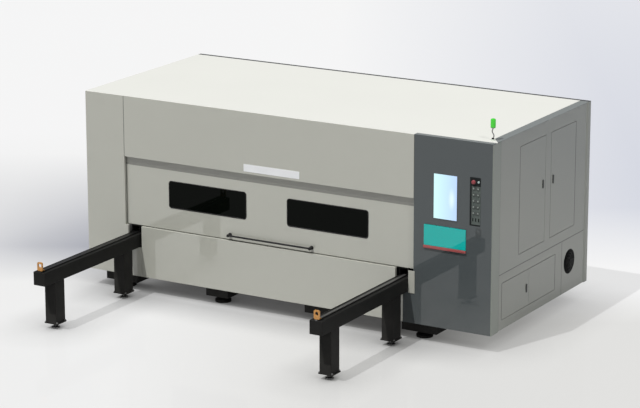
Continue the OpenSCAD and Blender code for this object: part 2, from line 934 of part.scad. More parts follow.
module head_carriage() {
    z1 = carriage_z + carriage_h;
    motor_in = carriage_l / 8;
    motor_h = carriage_l / 2;
    clamp = strip_w / 4;
    color("#3f4447") {
        block([carriage_x, carriage_y, carriage_z], [carriage_x + carriage_t, carriage_y + carriage_l, z1]);
        for (z = strip_z, s = [-1, 1])
            block([carriage_x - strip_h * 0.6, carriage_y, z + s * (strip_w / 2 + track_gap + clamp) - clamp],
                [carriage_x + cut, carriage_y + carriage_l, z + s * (strip_w / 2 + track_gap + clamp) + clamp]);
        block([carriage_x + carriage_t - cut, carriage_y + motor_in, z1 - motor_h / 2],
            [carriage_x + carriage_t + motor_h, carriage_y + carriage_l - motor_in, z1 + motor_h]);
    }
}

module cutting_head() {
    x0 = carriage_x + carriage_t + track_gap;
    top = gantry_top - carriage_l / 2;
    r = head_r;
    h = head_l;
    color("#aeb3b6") {
        block([x0, head_y - r, head_z + 0.4 * h], [x0 + 0.4 * r, head_y + r, top]);
        translate([head_x, head_y, head_z])
            rotate_extrude()
                polygon([[0, 0], [0.12 * r, 0], [0.3 * r, 0.067 * h], [0.3 * r, 0.11 * h], [0.52 * r, 0.125 * h],
                    [0.52 * r, 0.195 * h], [0.86 * r, 0.275 * h], [r, 0.335 * h], [r, 0.78 * h],
                    [0.8 * r, 0.8 * h], [0.8 * r, 0.97 * h], [0.5 * r, h], [0, h]]);
    }
}

// Equipment behind the side doors

module laser_source() {
    x1 = leaf_x - bay_gap;
    y0 = front + lower_y + bay_gap;
    y1 = front + lower_y + 2 * lower_w - bay_gap;
    slots = 12;
    pitch = (y1 - y0) / (slots + 2);
    color("#c8cac8")
    difference() {
        block([cabinet_l + fold, y0, sill_top], [x1, y1, sill_top + source_h]);
        for (i = [1:slots])
            block([x1 - 2 * sheet, y0 + i * pitch, sill_top + 0.25 * source_h],
                [x1 + cut, y0 + (i + 0.4) * pitch, sill_top + 0.75 * source_h]);
    }
}

module chiller() {
    x1 = side - fan_depth - bay_gap / 4;
    y0 = front + fan_seam_y + bay_gap / 4;
    y1 = back - fold - bay_gap;
    color("#d0d2cf")
    difference() {
        block([cabinet_l + fold, y0, sill_top], [x1, y1, belt_z - fold]);
        bar_x(x1 - fold, x1 + cut, front + fan_y, fan_z, 0.85 * fan_r);
    }
}

module control_plate() {
    edge = leaf_t;
    x1 = cabinet_l + sheet;
    y0 = front + upper_y + edge;
    y1 = front + upper_y2 + upper_w - edge;
    z0 = upper_z + edge;
    rows = [0.06, 0.3, 0.54, 0.78];
    columns = 6;
    pitch = (y1 - y0) / columns;
    color("#c9b98a") {
        block([cabinet_l, y0, z0], [x1, y1, upper_z + upper_h - edge]);
        for (r = rows, i = [0:columns - 1])
            block([x1 - cut, y0 + (i + 0.1) * pitch, z0 + r * upper_h],
                [x1 + device_d * (1 + (i % 3) / 3), y0 + (i + 0.9) * pitch, z0 + r * upper_h + device_h]);
    }
}

// Fan

module fan_guard() {
    ring_d = fan_depth;
    x1 = side - sheet;
    motor_r = 46;
    shaft_z = fan_set + fan_floor + 1;
    color("#1b1c1d")
    translate([x1, front + fan_y, fan_z]) rotate([0, -90, 0]) {
        difference() {
            cylinder(r = fan_r + 6, h = ring_d);
            translate([0, 0, -cut]) cylinder(r = fan_r - 1, h = ring_d + 2 * cut);
        }
        for (r = [34, 62, 90])
            difference() {
                cylinder(r = r + 2, h = 5);
                translate([0, 0, -cut]) cylinder(r = r - 2, h = 5 + 2 * cut);
            }
        for (a = [0:45:315])
            rotate(a) block([32, -2, 0], [fan_r + 2, 2, 5]);
        for (a = [45:90:315])
            rotate(a) block([motor_r - 4, -6, ring_d - 14], [fan_r + 2, 6, ring_d - 2]);
        translate([0, 0, ring_d - 36]) cylinder(r = motor_r, h = 36);
        translate([0, 0, shaft_z]) cylinder(r = fan_shaft_r, h = ring_d - 36 - shaft_z + cut);
    }
}

module fan_rotor() {
    tilt = 32;
    blade_t = 3;
    x1 = side - sheet - fan_set;
    color("#303233")
    translate([x1, front + fan_y, fan_z]) rotate([0, -90, 0])
    difference() {
        union() {
            cylinder(r = fan_hub_r, h = fan_hub_h);
            for (i = [0:fan_blades - 1])
                rotate(i * 360 / fan_blades)
                    translate([fan_hub_r - 3, 0, fan_hub_h / 2]) rotate([tilt, 0, 0])
                        translate([0, -20, -blade_t / 2]) cube([fan_r - fan_hub_r - 6, 40, blade_t]);
        }
        translate([0, 0, fan_floor]) cylinder(r = fan_shaft_r + shaft_gap, h = fan_hub_h);
    }
}

// Controls

module screen() {
    case_w = 24;
    case_d = 60;
    x0 = column_left + screen_x;
    color("#bfe6ee") {
        block([x0 + seam, front, screen_z + seam],
            [x0 + screen_w - seam, front + sheet + cut, screen_z + screen_h - seam]);
        block([x0 - case_w, front + sheet, screen_z - case_w],
            [x0 + screen_w + case_w, front + case_d, screen_z + screen_h + case_w]);
    }
}

module rocker_hole(i) {
    block([rocker_x - rocker_w / 2 - 1, front - 2 * plate_t2, rocker_z(i) - rocker_h / 2 - button_gap],
        [rocker_x + rocker_w / 2 + 1, front + cut, rocker_z(i) + rocker_h / 2 + button_gap]);
}

module button_plate() {
    port_w = 10;
    port_h = 34;
    port_z = plate_z + 39;
    port_pitch = 30;
    x0 = column_left + plate_x;
    color("#1d1f20")
    difference() {
        upright(x0, front - plate_t2, plate_z, plate_t2) rounded_rect(plate_w, plate_h, 6);
        bar_y(stop_pos.x, front - 2 * plate_t2, front + cut, stop_pos.y, stop_r * 0.6 + button_gap);
        bar_y(start_pos.x, front - 2 * plate_t2, front + cut, start_pos.y, start_r + button_gap);
        for (i = [0:rocker_n - 1]) rocker_hole(i);
        for (i = [-1:1])
            block([rocker_x + i * port_pitch - port_w / 2, front - 2 * plate_t2, port_z],
                [rocker_x + i * port_pitch + port_w / 2, front - 1, port_z + port_h]);
    }
}

module emergency_stop() {
    y0 = front - plate_t2 - stop_travel - 1;
    color("#c3201c")
    translate([stop_pos.x, y0, stop_pos.y]) rotate([90, 0, 0]) {
        rotate_extrude()
            polygon([[0, 0], [stop_r - 3, 0], [stop_r, 4], [stop_r, 9], [stop_r - 5, 14], [0, 16]]);
        translate([0, 0, -stop_travel - 16]) cylinder(r = stop_r * 0.6, h = stop_travel + 17);
    }
}

module start_button() {
    y0 = front - plate_t2 - start_travel - 2;
    color("#dfe8dc") bar_y(start_pos.x, y0, front + 8, start_pos.y, start_r);
}

// Rocker key: a shallow wedge that tips about an upright axis
module rocker(i) {
    top = 6;
    deep = 6;
    color("#2a2c2e")
    translate([rocker_x, front - plate_t2, rocker_z(i) - rocker_h / 2])
    linear_extrude(rocker_h)
    polygon([[-rocker_w / 2, deep - 3], [-rocker_w / 2, -top], [0, -top + 3], [rocker_w / 2, -top],
        [rocker_w / 2, deep - 3], [0, deep]]);
}

module rocker_1() {
    rocker(0);
}

module rocker_2() {
    rocker(1);
}

module rocker_3() {
    rocker(2);
}

module rocker_4() {
    rocker(3);
}

module rocker_5() {
    rocker(4);
}

module keyboard_ledge() {
    proud = flap_proud + 8;
    color("#a04646")
    block([column_left + flap_x - 4, front - proud, flap_z - hinge_gap - 1 - ledge_h],
        [column_left + flap_x + flap_w + 4, front, flap_z - hinge_gap - 1]);
}

module keyboard_flap() {
    wall = 3;
    color("#32aaa0")
    difference() {
        block([column_left + flap_x, flap_y, flap_z], [column_left + flap_x + flap_w, flap_y + flap_t, flap_z + flap_h]);
        block([column_left + flap_x + wall, flap_y + wall, flap_z + wall],
            [column_left + flap_x + flap_w - wall, flap_y + flap_t + cut, flap_z + flap_h - wall]);
    }
}

// Service doors and levers

module service_door(y0, y1, z0, z1, lever_y, lever_z) {
    color("#868982")
    difference() {
        pan_right([leaf_x, y0, z0], [side, y1, z1]);
        bar_x(side - 2 * sheet, side + cut, lever_y, lever_z, lever_r + shaft_gap);
    }
}

function upper_front_lever_y() = front + upper_y + upper_w - leaf_gap - lever_inset;
function upper_rear_lever_y() = front + upper_y2 + leaf_gap + lever_inset;
function lower_lever_y() = front + lower_y + lower_w - leaf_gap - lever_inset;

module upper_front_door() {
    y = front + upper_y;
    service_door(y + hinge_gap, y + upper_w - leaf_gap, upper_z + leaf_gap, upper_z + upper_h - leaf_gap,
        upper_front_lever_y(), upper_lever_z);
}

module upper_rear_door() {
    y = front + upper_y2;
    service_door(y + leaf_gap, y + upper_w - hinge_gap, upper_z + leaf_gap, upper_z + upper_h - leaf_gap,
        upper_rear_lever_y(), upper_lever_z);
}

module lower_front_door() {
    y = front + lower_y;
    service_door(y + hinge_gap, y + lower_w - leaf_gap / 2, lower_z + leaf_gap, lower_z + lower_h - leaf_gap,
        lower_lever_y(), lower_lever_z);
}

module lower_rear_door() {
    y = front + lower_y + lower_w;
    color("#868982")
    pan_right([leaf_x, y + leaf_gap / 2, lower_z + leaf_gap],
        [side, y + lower_w - hinge_gap, lower_z + lower_h - leaf_gap]);
}

module lever(y, z) {
    color("#3b3d3e") {
        translate([lever_x, y - lever_w / 2, z - lever_l / 2]) rotate([90, 0, 90])
            linear_extrude(lever_t) rounded_rect(lever_w, lever_l, lever_w / 2 - 1);
        bar_x(side - leaf_t, lever_x + cut, y, z, lever_r);
    }
}

module upper_front_lever() {
    lever(upper_front_lever_y(), upper_lever_z);
}

module upper_rear_lever() {
    lever(upper_rear_lever_y(), upper_lever_z);
}

module lower_lever() {
    lever(lower_lever_y(), lower_lever_z);
}

// Signal lamp

module lamp_stalk() {
    rod_r = 5;
    base_r = 24;
    base_h = 14;
    cup_h = 10;
    color("#3a3c3e")
    translate([right - lamp_right, front + lamp_y, roof])
    rotate_extrude()
    polygon([[0, 0], [base_r, 0], [base_r - 6, base_h], [rod_r, base_h + 4], [rod_r, stalk_h - cup_h - 6],
        [lens_r - 3, stalk_h - cup_h], [lens_r - 3, stalk_h], [0, stalk_h]]);
}

module lamp_lens() {
    color("#41d232")
    translate([right - lamp_right, front + lamp_y, roof + stalk_h])
    rotate_extrude()
    polygon([[0, 0], [lens_r, 0], [lens_r, lens_h - 10], [lens_r - 3, lens_h - 4], [lens_r - 9, lens_h], [0, lens_h]]);
}

bed_sills();
bed_crossmembers();
bed_feet();
left_column_panel();
header_panel();
control_column();
corner_post();
left_side_panel();
rear_panel();
roof_panel();
roof_trim();
side_upper_frame();
side_lower_frame();
fan_panel();
cheek_plates();
partition();
lift_door();
door_windows();
door_handle();
door_guides();
outfeed_rails();
rail_tracks();
rail_legs();
rail_feet();
rail_stops();
drawer_front();
table_frame();
table_slats();
front_wheels();
rear_wheels();
slag_tray();
guide_beams();
gantry_beam();
head_carriage();
cutting_head();
laser_source();
chiller();
control_plate();
fan_guard();
fan_rotor();
screen();
button_plate();
emergency_stop();
start_button();
rocker_1();
rocker_2();
rocker_3();
rocker_4();
rocker_5();
keyboard_ledge();
keyboard_flap();
upper_front_door();
upper_rear_door();
lower_front_door();
lower_rear_door();
upper_front_lever();
upper_rear_lever();
lower_lever();
lamp_stalk();
lamp_lens();
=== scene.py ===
import json
import math

import bmesh
import bpy
import numpy as np
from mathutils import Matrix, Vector


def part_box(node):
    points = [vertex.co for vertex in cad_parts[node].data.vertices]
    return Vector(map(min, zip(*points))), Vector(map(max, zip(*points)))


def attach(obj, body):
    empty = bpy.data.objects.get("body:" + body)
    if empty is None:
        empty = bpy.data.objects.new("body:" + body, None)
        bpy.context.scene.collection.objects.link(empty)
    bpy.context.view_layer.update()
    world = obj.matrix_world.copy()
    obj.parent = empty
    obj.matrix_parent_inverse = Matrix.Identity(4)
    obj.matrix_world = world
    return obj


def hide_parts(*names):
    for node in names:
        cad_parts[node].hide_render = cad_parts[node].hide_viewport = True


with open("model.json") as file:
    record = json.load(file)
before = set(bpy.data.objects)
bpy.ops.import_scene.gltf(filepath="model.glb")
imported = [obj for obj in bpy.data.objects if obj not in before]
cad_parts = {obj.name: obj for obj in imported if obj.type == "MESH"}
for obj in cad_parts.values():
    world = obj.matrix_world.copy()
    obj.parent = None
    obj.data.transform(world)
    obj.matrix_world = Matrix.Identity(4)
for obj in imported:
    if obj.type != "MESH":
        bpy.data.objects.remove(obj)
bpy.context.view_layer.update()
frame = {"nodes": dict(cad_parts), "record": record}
nodes = frame["nodes"]
print("frame loaded:", len(nodes), "nodes")


def newObject(name, data):
    thing = bpy.data.objects.new(name, data)
    bpy.context.scene.collection.objects.link(thing)
    return thing


# the camera stands at the front right, above the roof, with a long lens
cameraView = dict(place=(12.627, -21.012, 7.593), yaw=30.207, pitch=14.828, focal=148.53, sensor=36.0,
                  shift=(-0.01584, -0.0045), reach=200.0)


def makeCamera(view):
    data = bpy.data.cameras.new("viewCamera")
    data.lens, data.sensor_width = view["focal"], view["sensor"]
    data.shift_x, data.shift_y = view["shift"]
    data.clip_end = view["reach"]
    camera = newObject("viewCamera", data)
    camera.location = view["place"]
    camera.rotation_euler = (math.radians(90 - view["pitch"]), 0.0, math.radians(view["yaw"]))
    bpy.context.scene.camera = camera


makeCamera(cameraView)
bpy.context.scene.view_settings.view_transform = "Standard"

# the key lamp comes from the front left, high up, a weaker one from the right, and the world fills the rest
lightPlan = dict(key=dict(aim=(0.34, 1.0, -1.95), power=3.45, soft=0.6),
                 side=dict(aim=(-1.0, 0.5, -1.25), power=0.7, soft=9.0),
                 sky=dict(colour=(0.95, 0.96, 1.0), power=0.31))


def makeSun(name, aim, power, soft):
    lamp = bpy.data.lights.new(name, "SUN")
    lamp.energy = power
    lamp.angle = math.radians(soft)
    newObject(name, lamp).rotation_euler = Vector(aim).to_track_quat("-Z", "Y").to_euler()


# the world is white to the camera and a dim sky to everything else
def makeLights(plan):
    makeSun("keyLamp", **plan["key"])
    makeSun("sideLamp", **plan["side"])
    world = bpy.data.worlds.new("studioSky")
    world.use_nodes = True
    bpy.context.scene.world = world
    tree = world.node_tree
    tree.nodes.clear()
    out = tree.nodes.new("ShaderNodeOutputWorld")
    fill = tree.nodes.new("ShaderNodeBackground")
    white = tree.nodes.new("ShaderNodeBackground")
    mix = tree.nodes.new("ShaderNodeMixShader")
    fill.inputs["Color"].default_value = (*plan["sky"]["colour"], 1.0)
    fill.inputs["Strength"].default_value = plan["sky"]["power"]
    white.inputs["Color"].default_value = (1.0, 1.0, 1.0, 1.0)
    tree.links.new(tree.nodes.new("ShaderNodeLightPath").outputs["Is Camera Ray"], mix.inputs["Fac"])
    tree.links.new(fill.outputs[0], mix.inputs[1])
    tree.links.new(white.outputs[0], mix.inputs[2])
    tree.links.new(mix.outputs[0], out.inputs["Surface"])


makeLights(lightPlan)
print("camera and lights ready")


# shader helpers: each adds nodes to a tree and gives back the socket with the result
def link(tree, source, target):
    tree.links.new(source, target)


def setInputs(node, values):
    for label, value in values.items():
        node.inputs[label].default_value = value


def objectPlace(tree):
    return tree.nodes.new("ShaderNodeTexCoord").outputs["Object"]


def splitAxes(tree, vector):
    split = tree.nodes.new("ShaderNodeSeparateXYZ")
    link(tree, vector, split.inputs[0])
    return split.outputs


def noiseNode(tree, vector, scale, detail, rough=0.5):
    node = tree.nodes.new("ShaderNodeTexNoise")
    setInputs(node, {"Scale": scale, "Detail": detail, "Roughness": rough})
    link(tree, vector, node.inputs["Vector"])
    return node.outputs["Fac"]


def mathNode(tree, operation, first, second=None, clamp=False):
    node = tree.nodes.new("ShaderNodeMath")
    node.operation, node.use_clamp = operation, clamp
    for slot, value in enumerate((first, second)):
        if value is None:
            continue
        if isinstance(value, (int, float)):
            node.inputs[slot].default_value = value
        else:
            link(tree, value, node.inputs[slot])
    return node.outputs[0]


def product(tree, first, *others):
    for other in others:
        first = mathNode(tree, "MULTIPLY", first, other)
    return first


def addShare(tree, first, second, share, clamp=False):
    return mathNode(tree, "ADD", first, product(tree, second, share), clamp)


def mixColour(tree, factor, first, second, blend="MIX"):
    node = tree.nodes.new("ShaderNodeMix")
    node.data_type, node.blend_type = "RGBA", blend
    for slot, value in ((0, factor), (6, first), (7, second)):
        if isinstance(value, (int, float)):
            node.inputs[slot].default_value = value
        elif isinstance(value, tuple):
            node.inputs[slot].default_value = (*value, 1.0)
        else:
            link(tree, value, node.inputs[slot])
    return node.outputs[2]


def rangeNode(tree, value, low, high, outLow=0.0, outHigh=1.0):
    node = tree.nodes.new("ShaderNodeMapRange")
    node.clamp = True
    for slot, number in ((1, low), (2, high), (3, outLow), (4, outHigh)):
        node.inputs[slot].default_value = number
    link(tree, value, node.inputs[0])
    return node.outputs[0]


def stepUp(tree, value, place, soft):
    return rangeNode(tree, value, place - soft, place + soft)


def stepDown(tree, value, place, soft):
    return rangeNode(tree, value, place - soft, place + soft, 1.0, 0.0)


# a skin is a shader group that several finishes share, with a colour, a roughness and a height as its results
socketKinds = dict(Colour="NodeSocketColor", Lines="NodeSocketVector")  # any other socket is a plain number


def newSkin(name, inputs):
    tree = bpy.data.node_groups.new(name, "ShaderNodeTree")
    sockets = [(label, "INPUT") for label in inputs]
    sockets += [(label, "OUTPUT") for label in ("Colour", "Roughness", "Height")]
    for label, way in sockets:
        kind = socketKinds.get(label, "NodeSocketFloat")
        socket = tree.interface.new_socket(name=label, in_out=way, socket_type=kind)
        if way == "INPUT":
            socket.default_value = inputs[label]
    return tree, tree.nodes.new("NodeGroupInput").outputs, tree.nodes.new("NodeGroupOutput").inputs


def joinResults(tree, end, colour, rough, height):
    link(tree, colour, end["Colour"])
    link(tree, rough, end["Roughness"])
    link(tree, height, end["Height"])


# powder coat: a slow cloud in the shade, an orange peel in the height, and dust that gathers near the floor
# a noise is a scale and a detail, here and below, and may have a roughness as its third value
paintSkinPlan = dict(cloud=(1.3, 4.0), speck=(240.0, 2.0), peel=(420.0, 1.0), patch=(6.0, 5.0),
                     speckShade=0.05, dustHeights=(0.15, 0.75), dustColour=(0.42, 0.40, 0.36),
                     cloudGloss=0.14, dustGloss=0.4)


def makePaintSkin(plan):
    inputs = dict(Colour=(0.5, 0.5, 0.5, 1.0), Cloud=0.05, Gloss=0.45, Dust=0.1)
    tree, start, end = newSkin("paintSkin", inputs)
    where = objectPlace(tree)
    kinds = ("cloud", "speck", "peel", "patch")
    cloud, speck, peel, patch = (noiseNode(tree, where, *plan[kind]) for kind in kinds)
    shade = product(tree, mathNode(tree, "SUBTRACT", cloud, 0.5), start["Cloud"])
    grain = product(tree, mathNode(tree, "SUBTRACT", speck, 0.5), plan["speckShade"])
    level = mathNode(tree, "ADD", mathNode(tree, "ADD", shade, grain), 1.0)
    tint = tree.nodes.new("ShaderNodeVectorMath")
    tint.operation = "SCALE"
    link(tree, start["Colour"], tint.inputs[0])
    link(tree, level, tint.inputs["Scale"])
    low = rangeNode(tree, splitAxes(tree, where)["Z"], *plan["dustHeights"], 1.0, 0.0)
    dust = mathNode(tree, "MULTIPLY", product(tree, low, patch), start["Dust"], clamp=True)
    dusty = mixColour(tree, dust, tint.outputs[0], plan["dustColour"])
    gloss = addShare(tree, start["Gloss"], cloud, plan["cloudGloss"])
    joinResults(tree, end, dusty, addShare(tree, gloss, dust, plan["dustGloss"], True), peel)
    return tree


# bare steel: fine lines along one direction, and dark blotches that are duller than the rest
steelSkinPlan = dict(lines=(60.0, 3.0), blotch=(9.0, 6.0, 0.65), blotchRange=(0.35, 0.75),
                     dark=(0.06, 0.05, 0.045), bright=(0.62, 0.62, 0.60), lineShare=0.3, rough=0.25,
                     lineRough=0.25, blotchRough=0.4)


def makeSteelSkin(plan):
    inputs = dict(Colour=(0.4, 0.4, 0.4, 1.0), Lines=(1.0, 1.0, 1.0), Blotch=0.25)
    tree, start, end = newSkin("steelSkin", inputs)
    where = objectPlace(tree)
    stretch = tree.nodes.new("ShaderNodeVectorMath")
    stretch.operation = "MULTIPLY"
    link(tree, where, stretch.inputs[0])
    link(tree, start["Lines"], stretch.inputs[1])
    lines = noiseNode(tree, stretch.outputs[0], *plan["lines"])
    blotch = noiseNode(tree, where, *plan["blotch"])
    dark = product(tree, rangeNode(tree, blotch, *plan["blotchRange"]), start["Blotch"])
    shade = mixColour(tree, dark, start["Colour"], plan["dark"])
    streak = mixColour(tree, product(tree, lines, plan["lineShare"]), shade, plan["bright"])
    rough = addShare(tree, plan["rough"], lines, plan["lineRough"])
    joinResults(tree, end, streak, addShare(tree, rough, dark, plan["blotchRough"], True), lines)
    return tree


# moulded plastic: a fine spark texture and a soft change of gloss
plasticSkinPlan = dict(spark=(900.0, 2.0), worn=(22.0, 4.0), wornColour=(0.32, 0.32, 0.31), wornShare=0.16,
                       wornGloss=0.2)


def makePlasticSkin(plan):
    tree, start, end = newSkin("plasticSkin", dict(Colour=(0.5, 0.5, 0.5, 1.0), Gloss=0.4))
    where = objectPlace(tree)
    spark, worn = noiseNode(tree, where, *plan["spark"]), noiseNode(tree, where, *plan["worn"])
    shade = mixColour(tree, product(tree, worn, plan["wornShare"]), start["Colour"], plan["wornColour"])
    joinResults(tree, end, shade, addShare(tree, start["Gloss"], worn, plan["wornGloss"], True), spark)
    return tree


paintSkin = makePaintSkin(paintSkinPlan)
steelSkin = makeSteelSkin(steelSkinPlan)
plasticSkin = makePlasticSkin(plasticSkinPlan)
reliefDepth, coatRoughness = 0.0004, 0.02  # the same for every finish


def newMaterial(name):
    finish = bpy.data.materials.new(name)
    finish.use_nodes = True
    return finish, finish.node_tree, finish.node_tree.nodes["Principled BSDF"]


# one finish: a skin group feeds the shader, the height goes through a bump, and a clear coat may lie on top
def makeFinish(name, skin, values, bump, metallic=0.0, coat=0.0, specular=0.5, coatIor=1.45):
    finish, tree, shader = newMaterial(name)
    group = tree.nodes.new("ShaderNodeGroup")
    group.node_tree = skin
    setInputs(group, values)
    relief = tree.nodes.new("ShaderNodeBump")
    setInputs(relief, {"Strength": bump, "Distance": reliefDepth})
    setInputs(shader, {"Metallic": metallic, "Coat Weight": coat, "Coat Roughness": coatRoughness,
                       "Coat IOR": coatIor, "Specular IOR Level": specular})
    link(tree, group.outputs["Colour"], shader.inputs["Base Color"])
    link(tree, group.outputs["Roughness"], shader.inputs["Roughness"])
    link(tree, group.outputs["Height"], relief.inputs["Height"])
    link(tree, relief.outputs["Normal"], shader.inputs["Normal"])
    finish.diffuse_color = values["Colour"]
    return finish


def paint(name, colour, gloss=0.5, cloud=0.04, dust=0.08, bump=0.2, coat=0.85, specular=0.1, coatIor=1.5):
    values = {"Colour": (*colour, 1.0), "Cloud": cloud, "Gloss": gloss, "Dust": dust}
    return makeFinish(name, paintSkin, values, bump, 0.0, coat, specular, coatIor)


def steel(name, colour, lines=(1.0, 0.03, 1.0), blotch=0.2, metallic=0.9, bump=0.2):
    values = {"Colour": (*colour, 1.0), "Lines": lines, "Blotch": blotch}
    return makeFinish(name, steelSkin, values, bump, metallic)


def plastic(name, colour, gloss=0.38, bump=0.15, specular=0.3):
    return makeFinish(name, plasticSkin, {"Colour": (*colour, 1.0), "Gloss": gloss}, bump, specular=specular)


# the two sheet paints that come again on marked panels
def lightPaint(name):
    return paint(name, (0.360, 0.360, 0.315), coatIor=1.75)


def sidePaint(name):
    return paint(name, (0.238, 0.247, 0.219), cloud=0.05)


finishes = dict(
    lightPanel=lightPaint("lightPanelPaint"),
    darkPanel=paint("darkPanelPaint", (0.056, 0.065, 0.067), gloss=0.45, cloud=0.06),
    cornerPanel=paint("cornerPaint", (0.204, 0.224, 0.193), cloud=0.05),
    rampPanel=paint("rampPaint", (0.275, 0.285, 0.255), cloud=0.05),
    sidePanel=sidePaint("sidePanelPaint"),
    roofWhite=paint("roofPaint", (0.68, 0.68, 0.63), cloud=0.02, dust=0.0, coat=0.4),
    blackFrame=paint("blackFramePaint", (0.0085, 0.0085, 0.008), cloud=0.2, dust=0.05, coat=0.0,
                     specular=0.09),
    handleSteel=paint("handlePaint", (0.014, 0.014, 0.014), gloss=0.35, cloud=0.2, dust=0.0, coat=0.0,
                      specular=0.15),
    footSteel=steel("footSteelFinish", (0.22, 0.22, 0.22), lines=(1.0, 1.0, 0.1), blotch=0.3),
    slatSteel=steel("slatSteelFinish", (0.21, 0.18, 0.15), lines=(1.0, 1.0, 0.1), blotch=0.8, metallic=0.6),
    wheelSteel=steel("wheelSteelFinish", (0.42, 0.43, 0.44), lines=(0.1, 1.0, 1.0)),
    stopOrange=paint("stopOrangePaint", (0.43, 0.20, 0.045), gloss=0.4, cloud=0.1),
    beamGrey=paint("beamPaint", (0.40, 0.41, 0.38), gloss=0.45),
    headAlloy=steel("headAlloyFinish", (0.46, 0.48, 0.50), lines=(1.0, 1.0, 0.05), blotch=0.05),
    carriageDark=steel("carriageFinish", (0.07, 0.075, 0.08), lines=(1.0, 0.1, 1.0), blotch=0.1,
                       metallic=0.6),
    equipmentGrey=paint("equipmentPaint", (0.52, 0.53, 0.52)),
    blackPlastic=plastic("blackPlasticGrain", (0.009, 0.010, 0.010), gloss=0.4, specular=0.1),
    palePlastic=plastic("palePlasticGrain", (0.55, 0.60, 0.52), gloss=0.32),
    leverGrey=plastic("leverGrain", (0.055, 0.058, 0.056), gloss=0.45),
    rotorGrey=plastic("rotorGrain", (0.004, 0.004, 0.004), gloss=0.5, specular=0.03),
    portBlack=paint("portPaint", (0.0012, 0.0012, 0.0012), gloss=0.6, cloud=0.2, dust=0.0, coat=0.0,
                    specular=0.0),
    keyGrey=plastic("keyGrain", (0.045, 0.054, 0.050), gloss=0.4, specular=0.1),
    keyDot=plastic("keyDotGrain", (0.20, 0.23, 0.205), gloss=0.3),
    startPale=plastic("startButtonGrain", (0.34, 0.45, 0.43), gloss=0.3),
    redPlastic=plastic("redPlasticGrain", (0.23, 0.026, 0.033), gloss=0.3),
    redPaint=paint("ledgePaint", (0.27, 0.06, 0.057), gloss=0.4),
    tealPaint=paint("tealPaint", (0.0008, 0.368, 0.330), gloss=0.4, cloud=0.05, coatIor=1.55),
    rubber=plastic("sealRubberGrain", (0.0015, 0.0015, 0.0015), gloss=0.6, bump=0.3, specular=0.02),
    sealGrey=plastic("seamSealGrain", (0.075, 0.077, 0.072), gloss=0.7, bump=0.2, specular=0.1),
    boltSteel=steel("boltSteelFinish", (0.10, 0.10, 0.10), lines=(1.0, 1.0, 0.1), metallic=0.6),
    plateAlloy=steel("blankPlateAlloy", (0.72, 0.73, 0.74), lines=(0.03, 1.0, 1.0), blotch=0.05,
                     metallic=0.2),
)

# tinted window: near black green glass with a faint cloud in its gloss
glassPlan = dict(dark=(0.0010, 0.0012, 0.0010), green=(0.0016, 0.0026, 0.0016), haze=(3.0, 3.0),
                 hazeRange=(0.3, 0.7), rough=(0.01, 0.03), specular=0.06)


def makeWindowGlass(plan):
    finish, tree, shader = newMaterial("windowGlass")
    haze = noiseNode(tree, objectPlace(tree), *plan["haze"])
    link(tree, mixColour(tree, haze, plan["dark"], plan["green"]), shader.inputs["Base Color"])
    link(tree, rangeNode(tree, haze, *plan["hazeRange"], *plan["rough"]), shader.inputs["Roughness"])
    shader.inputs["Specular IOR Level"].default_value = plan["specular"]
    return finish


# lit display: a wash from pale cyan on the left to lavender on the right, a soft bright patch and a plain bar
# places and sizes are shares of the display's width and height
screenPlan = dict(left=(0.66, 1.0, 0.97), right=(0.48, 0.64, 1.0), patch=(0.74, 0.92, 1.0),
                  patchPlace=(0.72, 0.47), patchSize=(0.14, 0.27), patchFall=2.0, bar=(0.22, 0.42, 0.62),
                  barFoot=0.94, barShare=0.35, power=0.93, off=(0.02, 0.02, 0.02), offShare=0.9, rough=0.12)


def makeScreenGlow(plan):
    low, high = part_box("screen")
    finish, tree, shader = newMaterial("screenGlow")
    axes = splitAxes(tree, objectPlace(tree))
    across, upward = rangeNode(tree, axes["X"], low.x, high.x), rangeNode(tree, axes["Z"], low.z, high.z)
    squares = []
    for share, middle, size in zip((across, upward), plan["patchPlace"], plan["patchSize"]):
        away = mathNode(tree, "DIVIDE", mathNode(tree, "SUBTRACT", share, middle), size)
        squares.append(mathNode(tree, "POWER", away, 2.0))
    patch = mathNode(tree, "SUBTRACT", 1.0, mathNode(tree, "ADD", *squares), clamp=True)
    patch = mathNode(tree, "POWER", patch, plan["patchFall"])
    wash = mixColour(tree, patch, mixColour(tree, across, plan["left"], plan["right"]), plan["patch"])
    bar = product(tree, mathNode(tree, "GREATER_THAN", upward, plan["barFoot"]), plan["barShare"])
    field = mixColour(tree, bar, wash, plan["bar"])
    link(tree, field, shader.inputs["Emission Color"])
    link(tree, mixColour(tree, plan["offShare"], field, plan["off"]), shader.inputs["Base Color"])
    setInputs(shader, {"Emission Strength": plan["power"], "Roughness": plan["rough"]})
    return finish


# signal lens: glowing green with moulded rings in its colour and gloss
lensPlan = dict(dark=(0.03, 0.35, 0.02), light=(0.06, 0.45, 0.03), rings=60.0, rough=(0.12, 0.25),
                glow=(0.05, 0.85, 0.04, 1.0), power=0.22)


def makeLensGreen(plan):
    finish, tree, shader = newMaterial("lensGreen")
    rings = tree.nodes.new("ShaderNodeTexWave")
    rings.bands_direction = "Z"
    rings.inputs["Scale"].default_value = plan["rings"]
    link(tree, objectPlace(tree), rings.inputs["Vector"])
    wave = rings.outputs["Fac"]
    link(tree, mixColour(tree, wave, plan["dark"], plan["light"]), shader.inputs["Base Color"])
    link(tree, rangeNode(tree, wave, 0.0, 1.0, *plan["rough"]), shader.inputs["Roughness"])
    setInputs(shader, {"Emission Color": plan["glow"], "Emission Strength": plan["power"]})
    return finish


# lays a colour over a finish where the mask is 1
def overlay(finish, mask, colour, blend="MIX"):
    tree = finish.node_tree
    base = tree.nodes["Principled BSDF"].inputs["Base Color"]
    link(tree, mixColour(tree, mask, base.links[0].from_socket, colour, blend), base)


